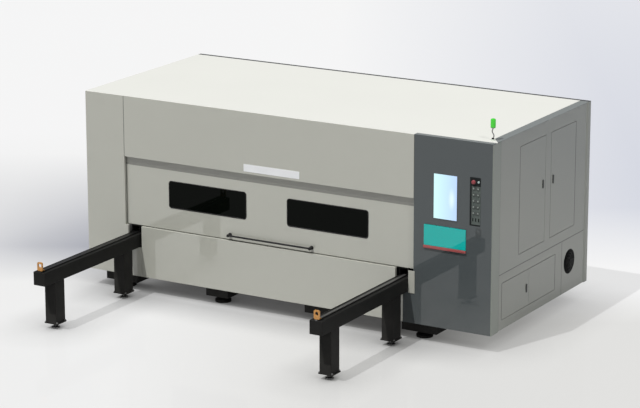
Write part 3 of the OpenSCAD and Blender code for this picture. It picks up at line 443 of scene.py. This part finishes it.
# multiplies a finish's colour inside a range of one object axis, with a soft edge at each end
def shadeRange(finish, axis, low, high, factor, soft):
    tree = finish.node_tree
    place = splitAxes(tree, objectPlace(tree))[axis]
    inside = product(tree, stepUp(tree, place, low, soft), stepDown(tree, place, high, soft))
    overlay(finish, inside, (factor, factor, factor), "MULTIPLY")


wellPast = 1.0  # metres beyond a piece, for a range that is open at one end

# button plate: dark grey, with black round the upper two buttons, along the left edge and at the foot
plateFacePlan = dict(grey=(0.062, 0.078, 0.070), black=(0.012, 0.014, 0.014), strip=0.019, field=0.082,
                     foot=0.012, soft=0.0005)


def makePlateFace(plan):
    low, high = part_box("button_plate")
    finish = plastic("plateFaceGrain", plan["grey"], gloss=0.45, specular=0.1)
    tree, soft = finish.node_tree, plan["soft"]
    axes = splitAxes(tree, objectPlace(tree))
    nearLeft = stepDown(tree, axes["X"], low.x + plan["strip"], soft)
    nearTop = stepUp(tree, axes["Z"], high.z - plan["field"], soft)
    nearFoot = stepDown(tree, axes["Z"], low.z + plan["foot"], soft)
    mask = mathNode(tree, "MAXIMUM", mathNode(tree, "MAXIMUM", nearLeft, nearTop), nearFoot)
    overlay(finish, mask, plan["black"])
    return finish


# painted shade on the door under the header: a dark band 20 mm high just below where the key lamp's shadow of
# the header ends, which lengthens that shadow, and the shadowed part above it darkened too
headerShadowPlan = dict(lightFall=1.95, band=0.0195, low=0.43, high=0.80, soft=0.0012)


def makeDoorShadowPaint(plan):
    header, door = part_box("header_panel")[0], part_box("lift_door")
    level = header.z - (door[0].y - header.y) * plan["lightFall"]
    finish = lightPaint("doorPaint")
    # painted shadow: the dark band below the shadow's edge, then the darker shade from there up
    shadeRange(finish, "Z", level - plan["band"], level, plan["low"], plan["soft"])
    shadeRange(finish, "Z", level, door[1].z + wellPast, plan["high"], plan["soft"])
    return finish


# roof trim: nearly black along the roof's rear edge
trimPlan = dict(colour=(0.165, 0.182, 0.176), rear=0.05, rearLevel=0.12, soft=0.0012)


def makeTrimPaint(plan):
    finish, rear = paint("trimPanelPaint", plan["colour"], gloss=0.45, cloud=0.06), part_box("roof_trim")[1].y
    shadeRange(finish, "Y", rear - plan["rear"], rear + wellPast, plan["rearLevel"], plan["soft"])
    return finish


# back and left side: dark joint lines where the large sheets meet, evenly spaced along one axis
jointPlan = dict(rear_panel=("X", 3), left_side_panel=("Y", 2), width=0.005, level=0.22, soft=0.0008)


def markJoints(finish, node, plan):
    axis, count = plan[node]
    low, high = (getattr(corner, axis.lower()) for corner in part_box(node))
    for place in np.linspace(low, high, count + 2)[1:-1]:
        edge = float(place) - plan["width"] / 2
        shadeRange(finish, axis, edge, edge + plan["width"], plan["level"], plan["soft"])
    return finish


# fan guard: painted sheen, lighter on its rear half for the grey reflection across that side of the fan, and
# darkened to black toward the front
guardSheenPlan = dict(colour=(0.040, 0.041, 0.041), frontLevel=0.12, soft=0.02)


def makeGuardSheenFinish(plan):
    low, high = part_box("fan_guard")
    finish = plastic("guardGrain", plan["colour"], gloss=0.5, specular=0.05)
    # painted sheen: the front half is darkened, which leaves the rear half lighter
    shadeRange(finish, "Y", low.y - wellPast, (low.y + high.y) / 2, plan["frontLevel"], plan["soft"])
    return finish


# guide strips: black steel, with a painted highlight, a paler steel line, along the middle of the right one
trackPlan = dict(steel=(0.035, 0.035, 0.034), black=(0.009, 0.009, 0.009), width=0.046, line=0.011,
                 soft=0.004)


def makeTrackSteel(plan):
    finish = steel("trackSteelFinish", plan["steel"], metallic=0.5)
    tree = finish.node_tree
    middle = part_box("rail_tracks")[1].x - plan["width"] / 2
    across = splitAxes(tree, objectPlace(tree))["X"]
    away = mathNode(tree, "ABSOLUTE", mathNode(tree, "SUBTRACT", across, middle))
    # painted highlight: all but the middle line of the right strip goes black
    overlay(finish, stepUp(tree, away, plan["line"], plan["soft"]), plan["black"])
    return finish


finishes.update(
    doorPaint=makeDoorShadowPaint(headerShadowPlan), trimPanel=makeTrimPaint(trimPlan),
    rearPanel=markJoints(sidePaint("rearPanelPaint"), "rear_panel", jointPlan),
    leftPanel=markJoints(lightPaint("leftPanelPaint"), "left_side_panel", jointPlan),
    guardDust=makeGuardSheenFinish(guardSheenPlan), trackSteel=makeTrackSteel(trackPlan),
    plateFace=makePlateFace(plateFacePlan), windowGlass=makeWindowGlass(glassPlan),
    screenGlow=makeScreenGlow(screenPlan), lensGreen=makeLensGreen(lensPlan),
)
print("finishes ready:", len(finishes))

# which finish each node of the frame takes
finishOf = dict(
    lightPanel=["left_column_panel", "header_panel", "drawer_front", "cheek_plates"],
    doorPaint=["lift_door"], darkPanel=["control_column"], trimPanel=["roof_trim"],
    cornerPanel=["corner_post"], rearPanel=["rear_panel"], leftPanel=["left_side_panel"],
    sidePanel=["side_upper_frame", "side_lower_frame", "fan_panel", "partition",
               "upper_front_door", "upper_rear_door", "lower_front_door", "lower_rear_door"],
    roofWhite=["roof_panel"],
    blackFrame=["bed_sills", "bed_crossmembers", "bed_feet", "outfeed_rails", "rail_legs", "table_frame",
                "door_guides"],
    footSteel=["rail_feet"], trackSteel=["rail_tracks"], handleSteel=["door_handle"],
    slatSteel=["table_slats", "slag_tray"], wheelSteel=["front_wheels", "rear_wheels"],
    stopOrange=["rail_stops"], beamGrey=["guide_beams", "gantry_beam"], headAlloy=["cutting_head"],
    carriageDark=["head_carriage"],
    equipmentGrey=["laser_source", "chiller", "control_plate"], windowGlass=["door_windows"],
    screenGlow=["screen"], blackPlastic=["lamp_stalk"], guardDust=["fan_guard"], rotorGrey=["fan_rotor"],
    plateFace=["button_plate"], keyGrey=["rocker_1", "rocker_2", "rocker_3", "rocker_4", "rocker_5"],
    leverGrey=["upper_front_lever", "upper_rear_lever", "lower_lever"], startPale=["start_button"],
    redPlastic=["emergency_stop"], redPaint=["keyboard_ledge"], tealPaint=["keyboard_flap"],
    lensGreen=["lamp_lens"],
)


def dressNodes(plan):
    for finish, names in plan.items():
        for name in names:
            mesh = nodes[name].data
            mesh.materials.clear()
            mesh.materials.append(finishes[finish])


dressNodes(finishOf)
print("nodes dressed")


# surfaces are grids of points: rows run along a path and columns round a profile
def gridFaces(rows, columns, closeRows, closeColumns):
    r = np.arange(rows if closeRows else rows - 1)[:, None]
    c = np.arange(columns if closeColumns else columns - 1)[None, :]
    r2, c2 = (r + 1) % rows, (c + 1) % columns
    corners = [r * columns + c, r * columns + c2, r2 * columns + c2, r2 * columns + c]
    return np.stack(corners, -1).reshape(-1, 4)


# how a grid closes: a strip stays open, a loop joins its rows, a tube joins its columns, and a solid is a
# tube with both ends shut
def strip(grid):
    return grid, False, False, False


def loop(grid):
    return grid, True, False, False


def tube(grid):
    return grid, False, True, False


def solid(grid):
    return grid, False, True, True


sharpAngle = math.radians(38)  # edges past this stay sharp on smooth pieces


def addPiece(name, parts, body, finish, smooth=True):
    points, faces, start = [], [], 0
    for grid, closeRows, closeColumns, caps in parts:
        rows, columns = grid.shape[:2]
        points.append(grid.reshape(-1, 3))
        faces += (gridFaces(rows, columns, closeRows, closeColumns) + start).tolist()
        if caps:
            faces.append((np.arange(columns)[::-1] + start).tolist())
            faces.append((np.arange(columns) + (rows - 1) * columns + start).tolist())
        start += rows * columns
    mesh = bpy.data.meshes.new(name)
    mesh.from_pydata(np.concatenate(points).tolist(), [], faces)
    mesh.validate()
    mesh.materials.append(finishes[finish])
    piece = newObject(name, mesh)
    work = bmesh.new()
    work.from_mesh(mesh)
    bmesh.ops.recalc_face_normals(work, faces=work.faces)
    work.to_mesh(mesh)
    work.free()
    if smooth:
        mesh.shade_smooth()
        mesh.set_sharp_from_angle(angle=sharpAngle)
    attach(piece, body)
    return piece


def nodePoints(node):
    vertices = nodes[node].data.vertices
    points = np.empty(len(vertices) * 3, np.float32)
    vertices.foreach_get("co", points)
    return points.reshape(-1, 3).astype(float)


# a profile of (side, height) pairs carried along a path, with two unit directions at each path point
def carried(path, sideways, upward, profile):
    path, profile = np.asarray(path, float), np.asarray(profile, float)
    sideways = np.broadcast_to(np.asarray(sideways, float), path.shape)
    upward = np.broadcast_to(np.asarray(upward, float), path.shape)
    return path[:, None] + profile[None, :, :1] * sideways[:, None] + profile[None, :, 1:] * upward[:, None]


# a profile of (radius, height) pairs turned round an axis through a centre
def turned(centre, axis, profile, steps=40):
    axis, profile = np.asarray(axis, float), np.asarray(profile, float)
    first = np.cross(axis, (0.0, 0.0, 1.0) if abs(axis[2]) < 0.9 else (1.0, 0.0, 0.0))
    first /= np.linalg.norm(first)
    second = np.cross(axis, first)
    angle = np.linspace(0, 2 * np.pi, steps, endpoint=False)
    spokes = np.cos(angle)[:, None] * first + np.sin(angle)[:, None] * second
    return np.asarray(centre, float) + profile[:, :1, None] * spokes[None] + profile[:, 1:, None] * axis


# a rectangle with round corners as points and outward directions, in a plane of two unit vectors
def roundedLoop(centre, right, up, width, height, radius, steps):
    corner = np.linspace(0, np.pi / 2, steps)
    angle = np.concatenate([corner + k * np.pi / 2 for k in range(4)])
    signX = np.repeat([1, -1, -1, 1], steps)
    signY = np.repeat([1, 1, -1, -1], steps)
    out = np.stack([np.cos(angle), np.sin(angle)], 1)
    flat = np.stack([signX * (width / 2 - radius), signY * (height / 2 - radius)], 1) + radius * out
    plane = np.stack([right, up]).astype(float)
    return np.asarray(centre, float) + flat @ plane, out @ plane


# a small rounded bead for seals and seams, open at the side that lies on the panel
def beadProfile(width, height, steps=7):
    angle = np.linspace(0, np.pi, steps)
    return np.stack([np.cos(angle) * width / 2, np.sin(angle) ** 0.6 * height], 1)


# a crown: a quarter ellipse from the rim up to the core, as (radius, height) pairs
def crownProfile(core, reach, base, rise, steps):
    angle = np.linspace(0, np.pi / 2, steps)
    return np.stack([core + reach * np.cos(angle), base + rise * np.sin(angle)], 1)


pole = 1e-5  # radius left at the top of a dome, which keeps its points apart
toRight, toRear, toTop, toFront = (1, 0, 0), (0, 1, 0), (0, 0, 1), (0, -1, 0)

# window seals: a bead carried round each pane on the door's face, along a rectangle with round corners
windowSeal = dict(width=0.010, height=0.003, radius=0.026, lap=0.018, steps=10)


def makeWindowSeals(plan):
    low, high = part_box("door_windows")
    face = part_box("lift_door")[0].y
    xs = np.sort(nodePoints("door_windows")[:, 0])
    breaks = np.sort(np.argsort(np.diff(xs))[-3:])  # the three widest: in each pane, and between the panes
    middle = breaks[1]
    parts = []
    for left, right in ((low.x, xs[middle]), (xs[middle + 1], high.x)):
        centre = ((left + right) / 2, face, (low.z + high.z) / 2)
        size = right - left - 2 * plan["lap"], high.z - low.z - 2 * plan["lap"]
        path, out = roundedLoop(centre, toRight, toTop, *size, plan["radius"], plan["steps"])
        parts.append(loop(carried(path, out, toFront, beadProfile(plan["width"], plan["height"]))))
    addPiece("windowSeals", parts, "front_door", "rubber")


makeWindowSeals(windowSeal)

# seam lines where fixed sheets meet and along the door hinges: a flat dark bead carried along each joint
# each hinge is a door, the end of its box and the way out from it
seamPlan = dict(width=0.006, height=0.0008, steps=5, cornerStep=0.019, hingeGap=0.0012,
                hinges=[("upper_front_door", 0, -1), ("upper_rear_door", 1, 1), ("lower_front_door", 0, -1),
                        ("lower_rear_door", 1, 1)])


def makeSeams(plan):
    profile = beadProfile(plan["width"], plan["height"], plan["steps"])
    headerLow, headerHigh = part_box("header_panel")
    upperLow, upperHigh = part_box("side_upper_frame")
    fanLow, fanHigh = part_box("fan_panel")
    skin, corner = upperHigh.x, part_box("corner_post")[1].y + plan["cornerStep"]
    runs = [((x, headerLow.y, headerLow.z), (x, headerLow.y, headerHigh.z), toRight, toFront)
            for x in (headerLow.x, headerHigh.x)]
    runs.append(((skin, upperLow.y, upperLow.z), (skin, upperHigh.y, upperLow.z), toTop, toRight))
    uprights = [(fanLow.y, fanLow.z, fanHigh.z), (corner, fanLow.z, upperHigh.z)]
    for door, end, sign in plan["hinges"]:
        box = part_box(door)
        uprights.append((box[end].y + sign * (plan["width"] / 2 + plan["hingeGap"]), box[0].z, box[1].z))
    runs += [((skin, y, foot), (skin, y, head), toRear, toRight) for y, foot, head in uprights]
    parts = [strip(carried((start, end), across, out, profile)) for start, end, across, out in runs]
    addPiece("seamLines", parts, "machine", "sealGrey")


makeSeams(seamPlan)

# handle: a thin bar between two turned mounts, each mount a flange, a fillet, a neck and a crown
handlePlan = dict(barRadius=0.009, barInset=0.0115, mountRadius=0.0198, neckRadius=0.0155, flange=0.005,
                  flangeRim=0.8, flangeEase=0.001, fillet=0.0012, filletTop=0.003, crown=0.004, crownSteps=6,
                  steps=28)


def makeHandle(plan):
    low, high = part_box("door_handle")
    radius, mountRadius, neck = plan["barRadius"], plan["mountRadius"], plan["neckRadius"]
    flange, fillet, crown = plan["flange"], plan["fillet"], plan["crown"]
    foot = [(mountRadius, 0), (mountRadius, flange * plan["flangeRim"]),
            (mountRadius - plan["flangeEase"], flange), (neck + fillet, flange + fillet),
            (neck, flange + plan["filletTop"])]
    top = crownProfile(neck - crown, crown, high.y - low.y - crown, crown, plan["crownSteps"])
    mount = np.vstack([foot, top])
    z, ends = (low.z + high.z) / 2, (low.x + mountRadius, high.x - mountRadius)
    bar = [(radius, 0), (radius, ends[1] - ends[0])]
    parts = [solid(turned((ends[0], low.y + plan["barInset"], z), toRight, bar, plan["steps"]))]
    parts += [solid(turned((x, high.y, z), toFront, mount, plan["steps"])) for x in ends]
    piece = addPiece("handleBar", parts, "front_door", "handleSteel")
    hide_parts("door_handle")


makeHandle(handlePlan)

# screen frame: a thin bead carried round the opening, which the screen's case laps on each side
bezelPlan = dict(width=0.010, height=0.003, radius=0.006, caseLap=0.024, clearance=0.0005, steps=6)


def makeBezel(plan):
    low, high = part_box("screen")
    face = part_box("control_column")[0].y
    lap = plan["caseLap"] + plan["clearance"]
    size = high.x - low.x - 2 * lap, high.z - low.z - 2 * lap
    centre = ((low.x + high.x) / 2, face, (low.z + high.z) / 2)
    path, out = roundedLoop(centre, toRight, toTop, *size, plan["radius"], plan["steps"])
    grid = carried(path, out, toFront, beadProfile(plan["width"], plan["height"]))
    addPiece("screenBezel", [loop(grid)], "machine", "darkPanel")


makeBezel(bezelPlan)

# key lenses: two pale domes on each rocker, each a quarter ellipse turned round its axis
keyLensPlan = dict(radius=0.008, height=0.003, spread=0.0235, dip=0.003, rows=5, domeSteps=6, steps=20)


def makeKeyLenses(plan):
    dome = crownProfile(pole, plan["radius"], 0.0, plan["height"], plan["domeSteps"])
    for row in range(1, plan["rows"] + 1):
        low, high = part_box(f"rocker_{row}")
        z, spread = (low.z + high.z) / 2, plan["spread"]
        face = low.y + plan["dip"] * (1 - spread / ((high.x - low.x) / 2))  # the face dips toward the middle
        places = ((low.x + high.x) / 2 - spread, (low.x + high.x) / 2 + spread)
        parts = [tube(turned((x, face, z), toFront, dome, plan["steps"])) for x in places]
        addPiece(f"keyLenses{row}", parts, f"rocker_{row}", "keyDot")


makeKeyLenses(keyLensPlan)

# port faces: a near-black face a little above the floor of each slot under the keys, painted shade for the
# depth that the shallow slot cannot cast, made of three rounded loops, of which the front one is drawn in
portPlan = dict(width=0.0094, height=0.0334, pitch=0.030, rise=0.056, sink=0.0014, radius=0.002, skirt=0.0005,
                ease=0.0008, crown=0.0003, steps=5)


def makePorts(plan):
    plate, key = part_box("button_plate")[0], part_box("rocker_1")
    middle, parts = (key[0].x + key[1].x) / 2, []
    size = plan["width"], plan["height"]
    for step in (-1, 0, 1):
        centre = (middle + step * plan["pitch"], plate.y + plan["sink"], plate.z + plan["rise"])
        rim, out = roundedLoop(centre, toRight, toTop, *size, plan["radius"], plan["steps"])
        front = rim - out * plan["ease"] - (0, plan["crown"], 0)
        parts.append(solid(np.stack([rim + (0, plan["skirt"], 0), rim, front])))
    addPiece("portShadeFaces", parts, "machine", "portBlack", False)


makePorts(portPlan)

# emergency stop: a turned mushroom with a groove, and a turned collar on the plate
# the shank is (share of the radius, height over the plate), and the rim's heights count back from the front
stopPlan = dict(radius=0.020, shank=[(0.6, -0.012), (0.6, 0.0071), (0.9, 0.0075), (1.0, 0.010)],
                rim=[(1.0, -0.009), (0.95, -0.0075)], crownRise=0.006, crownShare=0.98, crownSteps=7,
                collarRadius=0.0225, collarBore=0.66, collarHeight=0.0009, collarRim=0.7, collarEase=0.001)


def makeStop(plan):
    low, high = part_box("emergency_stop")
    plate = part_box("button_plate")[0].y
    centre, r, depth = ((low.x + high.x) / 2, plate, (low.z + high.z) / 2), plan["radius"], plate - low.y
    shank = np.array(plan["shank"]) * (r, 1.0)
    rim = np.array(plan["rim"]) * (r, 1.0) + (0.0, depth)
    rise = plan["crownRise"]
    crown = crownProfile(pole, r * plan["crownShare"], depth - rise, rise, plan["crownSteps"])
    head = solid(turned(centre, toFront, np.vstack([shank, rim, crown])))
    piece = addPiece("stopHead", [head], "stop", "redPlastic")
    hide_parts("emergency_stop")
    c, h, bore = plan["collarRadius"], plan["collarHeight"], r * plan["collarBore"]
    ring = [(c, 0), (c, h * plan["collarRim"]), (c - plan["collarEase"], h), (bore, h), (bore, 0)]
    addPiece("stopCollar", [tube(turned(centre, toFront, ring))], "machine", "blackPlastic")


makeStop(stopPlan)

# lamp stalk: a round rod along an S curve, x = swing * sin(2 pi t) * sin(pi t), from a turned foot with a
# collar to a cup under the lens; foot and collar are (radius, share of the foot's height)
stalkPlan = dict(rod=0.0048, sides=14, swing=0.012, steps=30, rodFoot=0.6, rodHead=0.5, footHeight=0.016,
                 foot=[(0.0235, 0.0), (0.0235, 0.25), (0.0205, 0.45), (0.009, 0.6), (0.007, 1.0)],
                 collar=[(0.0125, 0.0), (0.0125, 0.6), (0.0065, 1.0)], collarSeat=0.45, collarSteps=24,
                 cupHeight=0.012, cupThroat=0.006, cupInset=0.002)


def makeStalk(plan):
    low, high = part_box("lamp_stalk")
    lensLow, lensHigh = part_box("lamp_lens")
    x, y, h, c = (low.x + high.x) / 2, (low.y + high.y) / 2, plan["footHeight"], plan["cupHeight"]
    t = np.linspace(0, 1, plan["steps"])
    start = h * plan["rodFoot"]
    rise = low.z + start + t * (high.z - low.z - start - c * plan["rodHead"])
    bend = plan["swing"] * np.sin(2 * np.pi * t) * np.sin(np.pi * t)
    path = np.stack([x + bend, np.full_like(t, y), rise], 1)
    angle = np.linspace(0, 2 * np.pi, plan["sides"], endpoint=False)
    profile = plan["rod"] * np.stack([np.cos(angle), np.sin(angle)], 1)
    along = np.gradient(path, axis=0)
    along /= np.linalg.norm(along, axis=1, keepdims=True)
    across = np.stack([along[:, 2], np.zeros_like(t), -along[:, 0]], 1)
    wide = (lensHigh.x - lensLow.x) / 2 - plan["cupInset"]
    cup = turned((x, y, high.z), toTop, [(plan["cupThroat"], -c), (wide, -c * plan["rodHead"]), (wide, 0)])
    seat = (x, y, low.z + h * plan["collarSeat"])
    collar = turned(seat, toTop, np.array(plan["collar"]) * (1.0, h), plan["collarSteps"])
    foot = turned((x, y, low.z), toTop, np.array(plan["foot"]) * (1.0, h))
    addPiece("lampCollar", [solid(collar)], "machine", "portBlack")
    addPiece("lampFoot", [solid(foot)], "machine", "palePlastic")
    parts = [solid(carried(path, across, toRear, profile)), solid(cup)]
    piece = addPiece("lampStalk", parts, "machine", "boltSteel")
    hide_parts("lamp_stalk")


makeStalk(stalkPlan)

# blank plate on the header, left empty: a thin slab of three rounded loops, the front one drawn in
platePlan = dict(x=(-0.417, 0.204), z=(1.402, 1.475), thick=0.0015, rim=0.6, ease=0.4, radius=0.006, steps=6)


def makeBlankPlate(plan):
    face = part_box("header_panel")[0].y
    (x0, x1), (z0, z1), t = plan["x"], plan["z"], plan["thick"]
    centre = ((x0 + x1) / 2, face, (z0 + z1) / 2)
    path, out = roundedLoop(centre, toRight, toTop, x1 - x0, z1 - z0, plan["radius"], plan["steps"])
    rows = np.stack([path, path + (0, -t * plan["rim"], 0), path - out * t * plan["ease"] + (0, -t, 0)])
    addPiece("blankPlate", [solid(rows)], "machine", "plateAlloy")


makeBlankPlate(platePlan)

# cap strip on the top return of the control column: a flat profile with eased edges carried along the column
capPlan = dict(depth=0.0595, thick=0.0010, inset=0.0005, rim=0.6)


def makeCap(plan):
    low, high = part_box("control_column")
    t, d, inset = plan["thick"], plan["depth"], plan["inset"]
    rim = t * plan["rim"]
    profile = [(inset, 0), (inset, rim), (inset + t, t), (d - t, t), (d, rim), (d, 0)]
    path = [(x, low.y, high.z) for x in (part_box("header_panel")[1].x + inset, high.x - inset)]
    parts = [solid(carried(path, toRear, toTop, profile))]
    addPiece("columnCap", parts, "machine", "trimPanel", False)


makeCap(capPlan)

# rear edge moulding: a ramp with one knee, carried up the corner, from the side skin to the proud rear wrap
rampPlan = dict(length=0.026, inset=0.0004, wrap=0.053, kneeBack=0.35, kneeRise=0.75)


def makeRamp(plan):
    skin, (low, high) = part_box("side_upper_frame")[1].x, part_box("rear_panel")
    end, top = high.y - plan["wrap"] - plan["inset"], high.x - plan["inset"]
    knee = (end - plan["length"] * plan["kneeBack"], skin + (top - skin) * plan["kneeRise"])
    profile = [(end - plan["length"], skin), knee, (end, top), (end, skin)]
    path = [(0, 0, low.z + plan["inset"]), (0, 0, high.z - plan["inset"])]
    parts = [solid(carried(path, toRear, toRight, profile))]
    addPiece("rearRamp", parts, "machine", "rampPanel", False)


makeRamp(rampPlan)

# bolts on the leg flanges: hexagon heads turned in six steps, on turned washers
boltPlan = dict(size=0.009, head=0.007, headRim=0.85, headTop=0.86, washer=0.011, washerHeight=0.002,
                washerSteps=18, inset=0.012, level=1e-4)


def makeFlangeBolts(plan):
    points = nodePoints("rail_legs")
    top = np.unique(points[:, 2].round(4))[1]  # second level of the legs is the flange's upper face
    rim = points[np.abs(points[:, 2] - points[:, 2].min()) < plan["level"]]
    inward = (plan["inset"], -plan["inset"])
    xs, ys = (np.unique(rim[:, axis].round(3)).reshape(-1, 2) + inward for axis in (0, 1))
    hexagon = [(plan["size"], 0), (plan["size"], plan["head"] * plan["headRim"]),
               (plan["size"] * plan["headTop"], plan["head"])]
    disc = [(plan["washer"], 0), (plan["washer"], plan["washerHeight"])]
    parts = []
    for x in xs.ravel():
        for y in ys.ravel():
            parts.append(solid(turned((x, y, top), toTop, disc, plan["washerSteps"])))
            parts.append(solid(turned((x, y, top + plan["washerHeight"]), toTop, hexagon, 6)))
    addPiece("flangeBolts", parts, "machine", "boltSteel", False)


makeFlangeBolts(boltPlan)

# lever roses: a turned ring round each lever's spindle, on the leaf that carries the lever
rosePlan = dict(radius=0.013, bore=0.0068, height=0.00024, ease=0.001, levers=dict(
    upper_front_lever="upper_front_leaf", upper_rear_lever="upper_rear_leaf", lower_lever="lower_front_leaf"))


def makeRoses(plan):
    r, h = plan["radius"], plan["height"]
    ring = [(r, 0), (r - plan["ease"], h), (plan["bore"], h)]
    for node, body in plan["levers"].items():
        low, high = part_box(node)
        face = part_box(body.replace("leaf", "door"))[1].x
        centre = (face, (low.y + high.y) / 2, (low.z + high.z) / 2)
        name = node.split("_lever")[0].replace("_", "") + "Rose"
        addPiece(name, [tube(turned(centre, toRight, ring))], body, "blackPlastic")


makeRoses(rosePlan)

# the frame's own meshes with softened edges: points merged, flat faces joined, then a bevel
edgePlan = dict(
    panels=dict(width=0.0012, segments=2, nodes=[
        "left_column_panel", "header_panel", "control_column", "lift_door", "drawer_front", "cheek_plates",
        "roof_panel", "roof_trim", "side_upper_frame", "side_lower_frame", "fan_panel", "upper_front_door",
        "upper_rear_door", "lower_front_door", "lower_rear_door", "keyboard_flap", "rear_panel",
        "left_side_panel"]),
    bars=dict(width=0.005, segments=3, nodes=[
        "outfeed_rails", "rail_legs", "keyboard_ledge", "guide_beams", "laser_source", "chiller"]),
)
mergeGap, flatAngle, bevelAngle = 1e-5, math.radians(0.5), math.radians(40)
bodyOf = {node: body for body, members in frame["record"]["behaviour"]["bodies"].items() for node in members}


def softenEdges(node, width, segments):
    mesh = nodes[node].data.copy()
    mesh.transform(nodes[node].matrix_world)
    work = bmesh.new()
    work.from_mesh(mesh)
    bmesh.ops.remove_doubles(work, verts=work.verts, dist=mergeGap)
    bmesh.ops.dissolve_limit(work, angle_limit=flatAngle, verts=work.verts, edges=work.edges)
    work.to_mesh(mesh)
    work.free()
    mesh.shade_flat()
    piece = newObject(node.title().replace("_", "") + "Soft", mesh)
    bevel = piece.modifiers.new("softEdge", "BEVEL")
    bevel.width, bevel.segments = width, segments
    bevel.limit_method, bevel.angle_limit = "ANGLE", bevelAngle
    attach(piece, bodyOf[node])
    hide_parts(node)


def softenAll(plan):
    for group in plan.values():
        for node in group["nodes"]:
            softenEdges(node, group["width"], group["segments"])


softenAll(edgePlan)
print("pieces ready")

# pale floor: the camera and mirrors see it nearly white with soft contact shade and a pale cast of shadow,
# and other light sees a plain grey
floorPlan = dict(half=60.0, nearLeft=(0.65, 0.65, 0.645), nearRight=(0.545, 0.542, 0.527),
                 far=(0.70, 0.70, 0.70), coolRight=(0.455, 0.475, 0.545), leftShadowTone=(0.215, 0.225, 0.275),
                 shadeReach=0.68, shadePower=1.2, shadowAlbedo=0.15, bounceAlbedo=0.5, mirror=0.05,
                 mirrorBlur=0.05)
# where each tone comes and goes, in metres across the view (X) or into its depth (Y): from, to, and the
# shares at both ends
floorRanges = dict(
    rightAcross=("X", -1.6, 0.2, 0.0, 1.0), rightDepth=("Y", -0.4, 0.7, 0.0, 1.0),
    farDepth=("Y", 4.5, 7.5, 0.0, 1.0), coolAcross=("X", 0.5, 4.0, 0.0, 1.0),
    coolDepth=("Y", 1.5, 3.9, 0.0, 1.0), coolFade=("Y", 5.0, 16.0, 1.0, 0.62),
    leftRise=("Y", 1.0, 2.3, 0.0, 1.0), leftFall=("Y", 2.4, 6.4, 1.0, 0.0),
    leftStart=("X", -3.3, -2.1, 0.45, 1.0), leftEnd=("X", -1.5, 0.0, 1.0, 0.0),
    contactAcross=("X", 1.0, 1.8, 1.0, 0.55))


# the floor's tones: paler near the left and darker near the right, even far off, a bluish tint to the right,
# and a painted cast shadow of the machine to the left; the contact shade is laid over them
def floorTone(tree, plan, ranges, yaw):
    turn = tree.nodes.new("ShaderNodeVectorRotate")
    turn.rotation_type = "Z_AXIS"
    turn.inputs["Angle"].default_value = -math.radians(yaw)
    link(tree, objectPlace(tree), turn.inputs["Vector"])
    axes = splitAxes(tree, turn.outputs[0])
    share = {name: rangeNode(tree, axes[axis], *span) for name, (axis, *span) in ranges.items()}
    near = mixColour(tree, share["rightAcross"], plan["nearLeft"], plan["nearRight"])
    farther = product(tree, share["rightAcross"], share["rightDepth"])
    base = mixColour(tree, mathNode(tree, "MAXIMUM", farther, share["farDepth"]), near, plan["far"])
    onRight = product(tree, share["coolAcross"], share["coolDepth"], share["coolFade"])
    onLeft = product(tree, share["leftRise"], share["leftFall"], share["leftStart"], share["leftEnd"])
    # painted shadow of the machine on the floor to the left
    tint = mixColour(tree, onLeft, mixColour(tree, onRight, base, plan["coolRight"]), plan["leftShadowTone"])
    contact = tree.nodes.new("ShaderNodeAmbientOcclusion")
    contact.inputs["Distance"].default_value = plan["shadeReach"]
    shade = mathNode(tree, "POWER", contact.outputs["AO"], plan["shadePower"])
    return mixColour(tree, share["contactAcross"], tint, shade, "MULTIPLY")


def makeFloor(plan, ranges, yaw):
    half = plan["half"]
    mesh = bpy.data.meshes.new("studioFloor")
    corners = [(-half, -half, 0), (half, -half, 0), (half, half, 0), (-half, half, 0)]
    mesh.from_pydata(corners, [], [(0, 1, 2, 3)])
    floor = newObject("studioFloor", mesh)
    finish = bpy.data.materials.new("floorFinish")
    finish.use_nodes = True
    tree = finish.node_tree
    tree.nodes.clear()
    kinds = ("Emission", "BsdfDiffuse", "BsdfGlossy", "BsdfDiffuse", "MixShader", "AddShader", "MixShader",
             "LightPath", "OutputMaterial")
    glow, cast, gloss, bounce, blend, total, pick, rays, out = (
        tree.nodes.new("ShaderNode" + kind) for kind in kinds)
    cast.inputs["Color"].default_value = (*(plan["shadowAlbedo"],) * 3, 1.0)
    bounce.inputs["Color"].default_value = (*(plan["bounceAlbedo"],) * 3, 1.0)
    gloss.inputs["Roughness"].default_value = plan["mirrorBlur"]
    blend.inputs["Fac"].default_value = plan["mirror"]
    seen = mathNode(tree, "MAXIMUM", rays.outputs["Is Camera Ray"], rays.outputs["Is Glossy Ray"])
    link(tree, mathNode(tree, "MAXIMUM", seen, rays.outputs["Is Transmission Ray"]), pick.inputs["Fac"])
    link(tree, floorTone(tree, plan, ranges, yaw), glow.inputs["Color"])
    for shader, node, slot in ((cast, blend, 1), (gloss, blend, 2), (glow, total, 0), (blend, total, 1),
                               (bounce, pick, 1), (total, pick, 2), (pick, out, 0)):
        link(tree, shader.outputs[0], node.inputs[slot])
    mesh.materials.append(finish)


makeFloor(floorPlan, floorRanges, cameraView["yaw"])
print("floor ready")
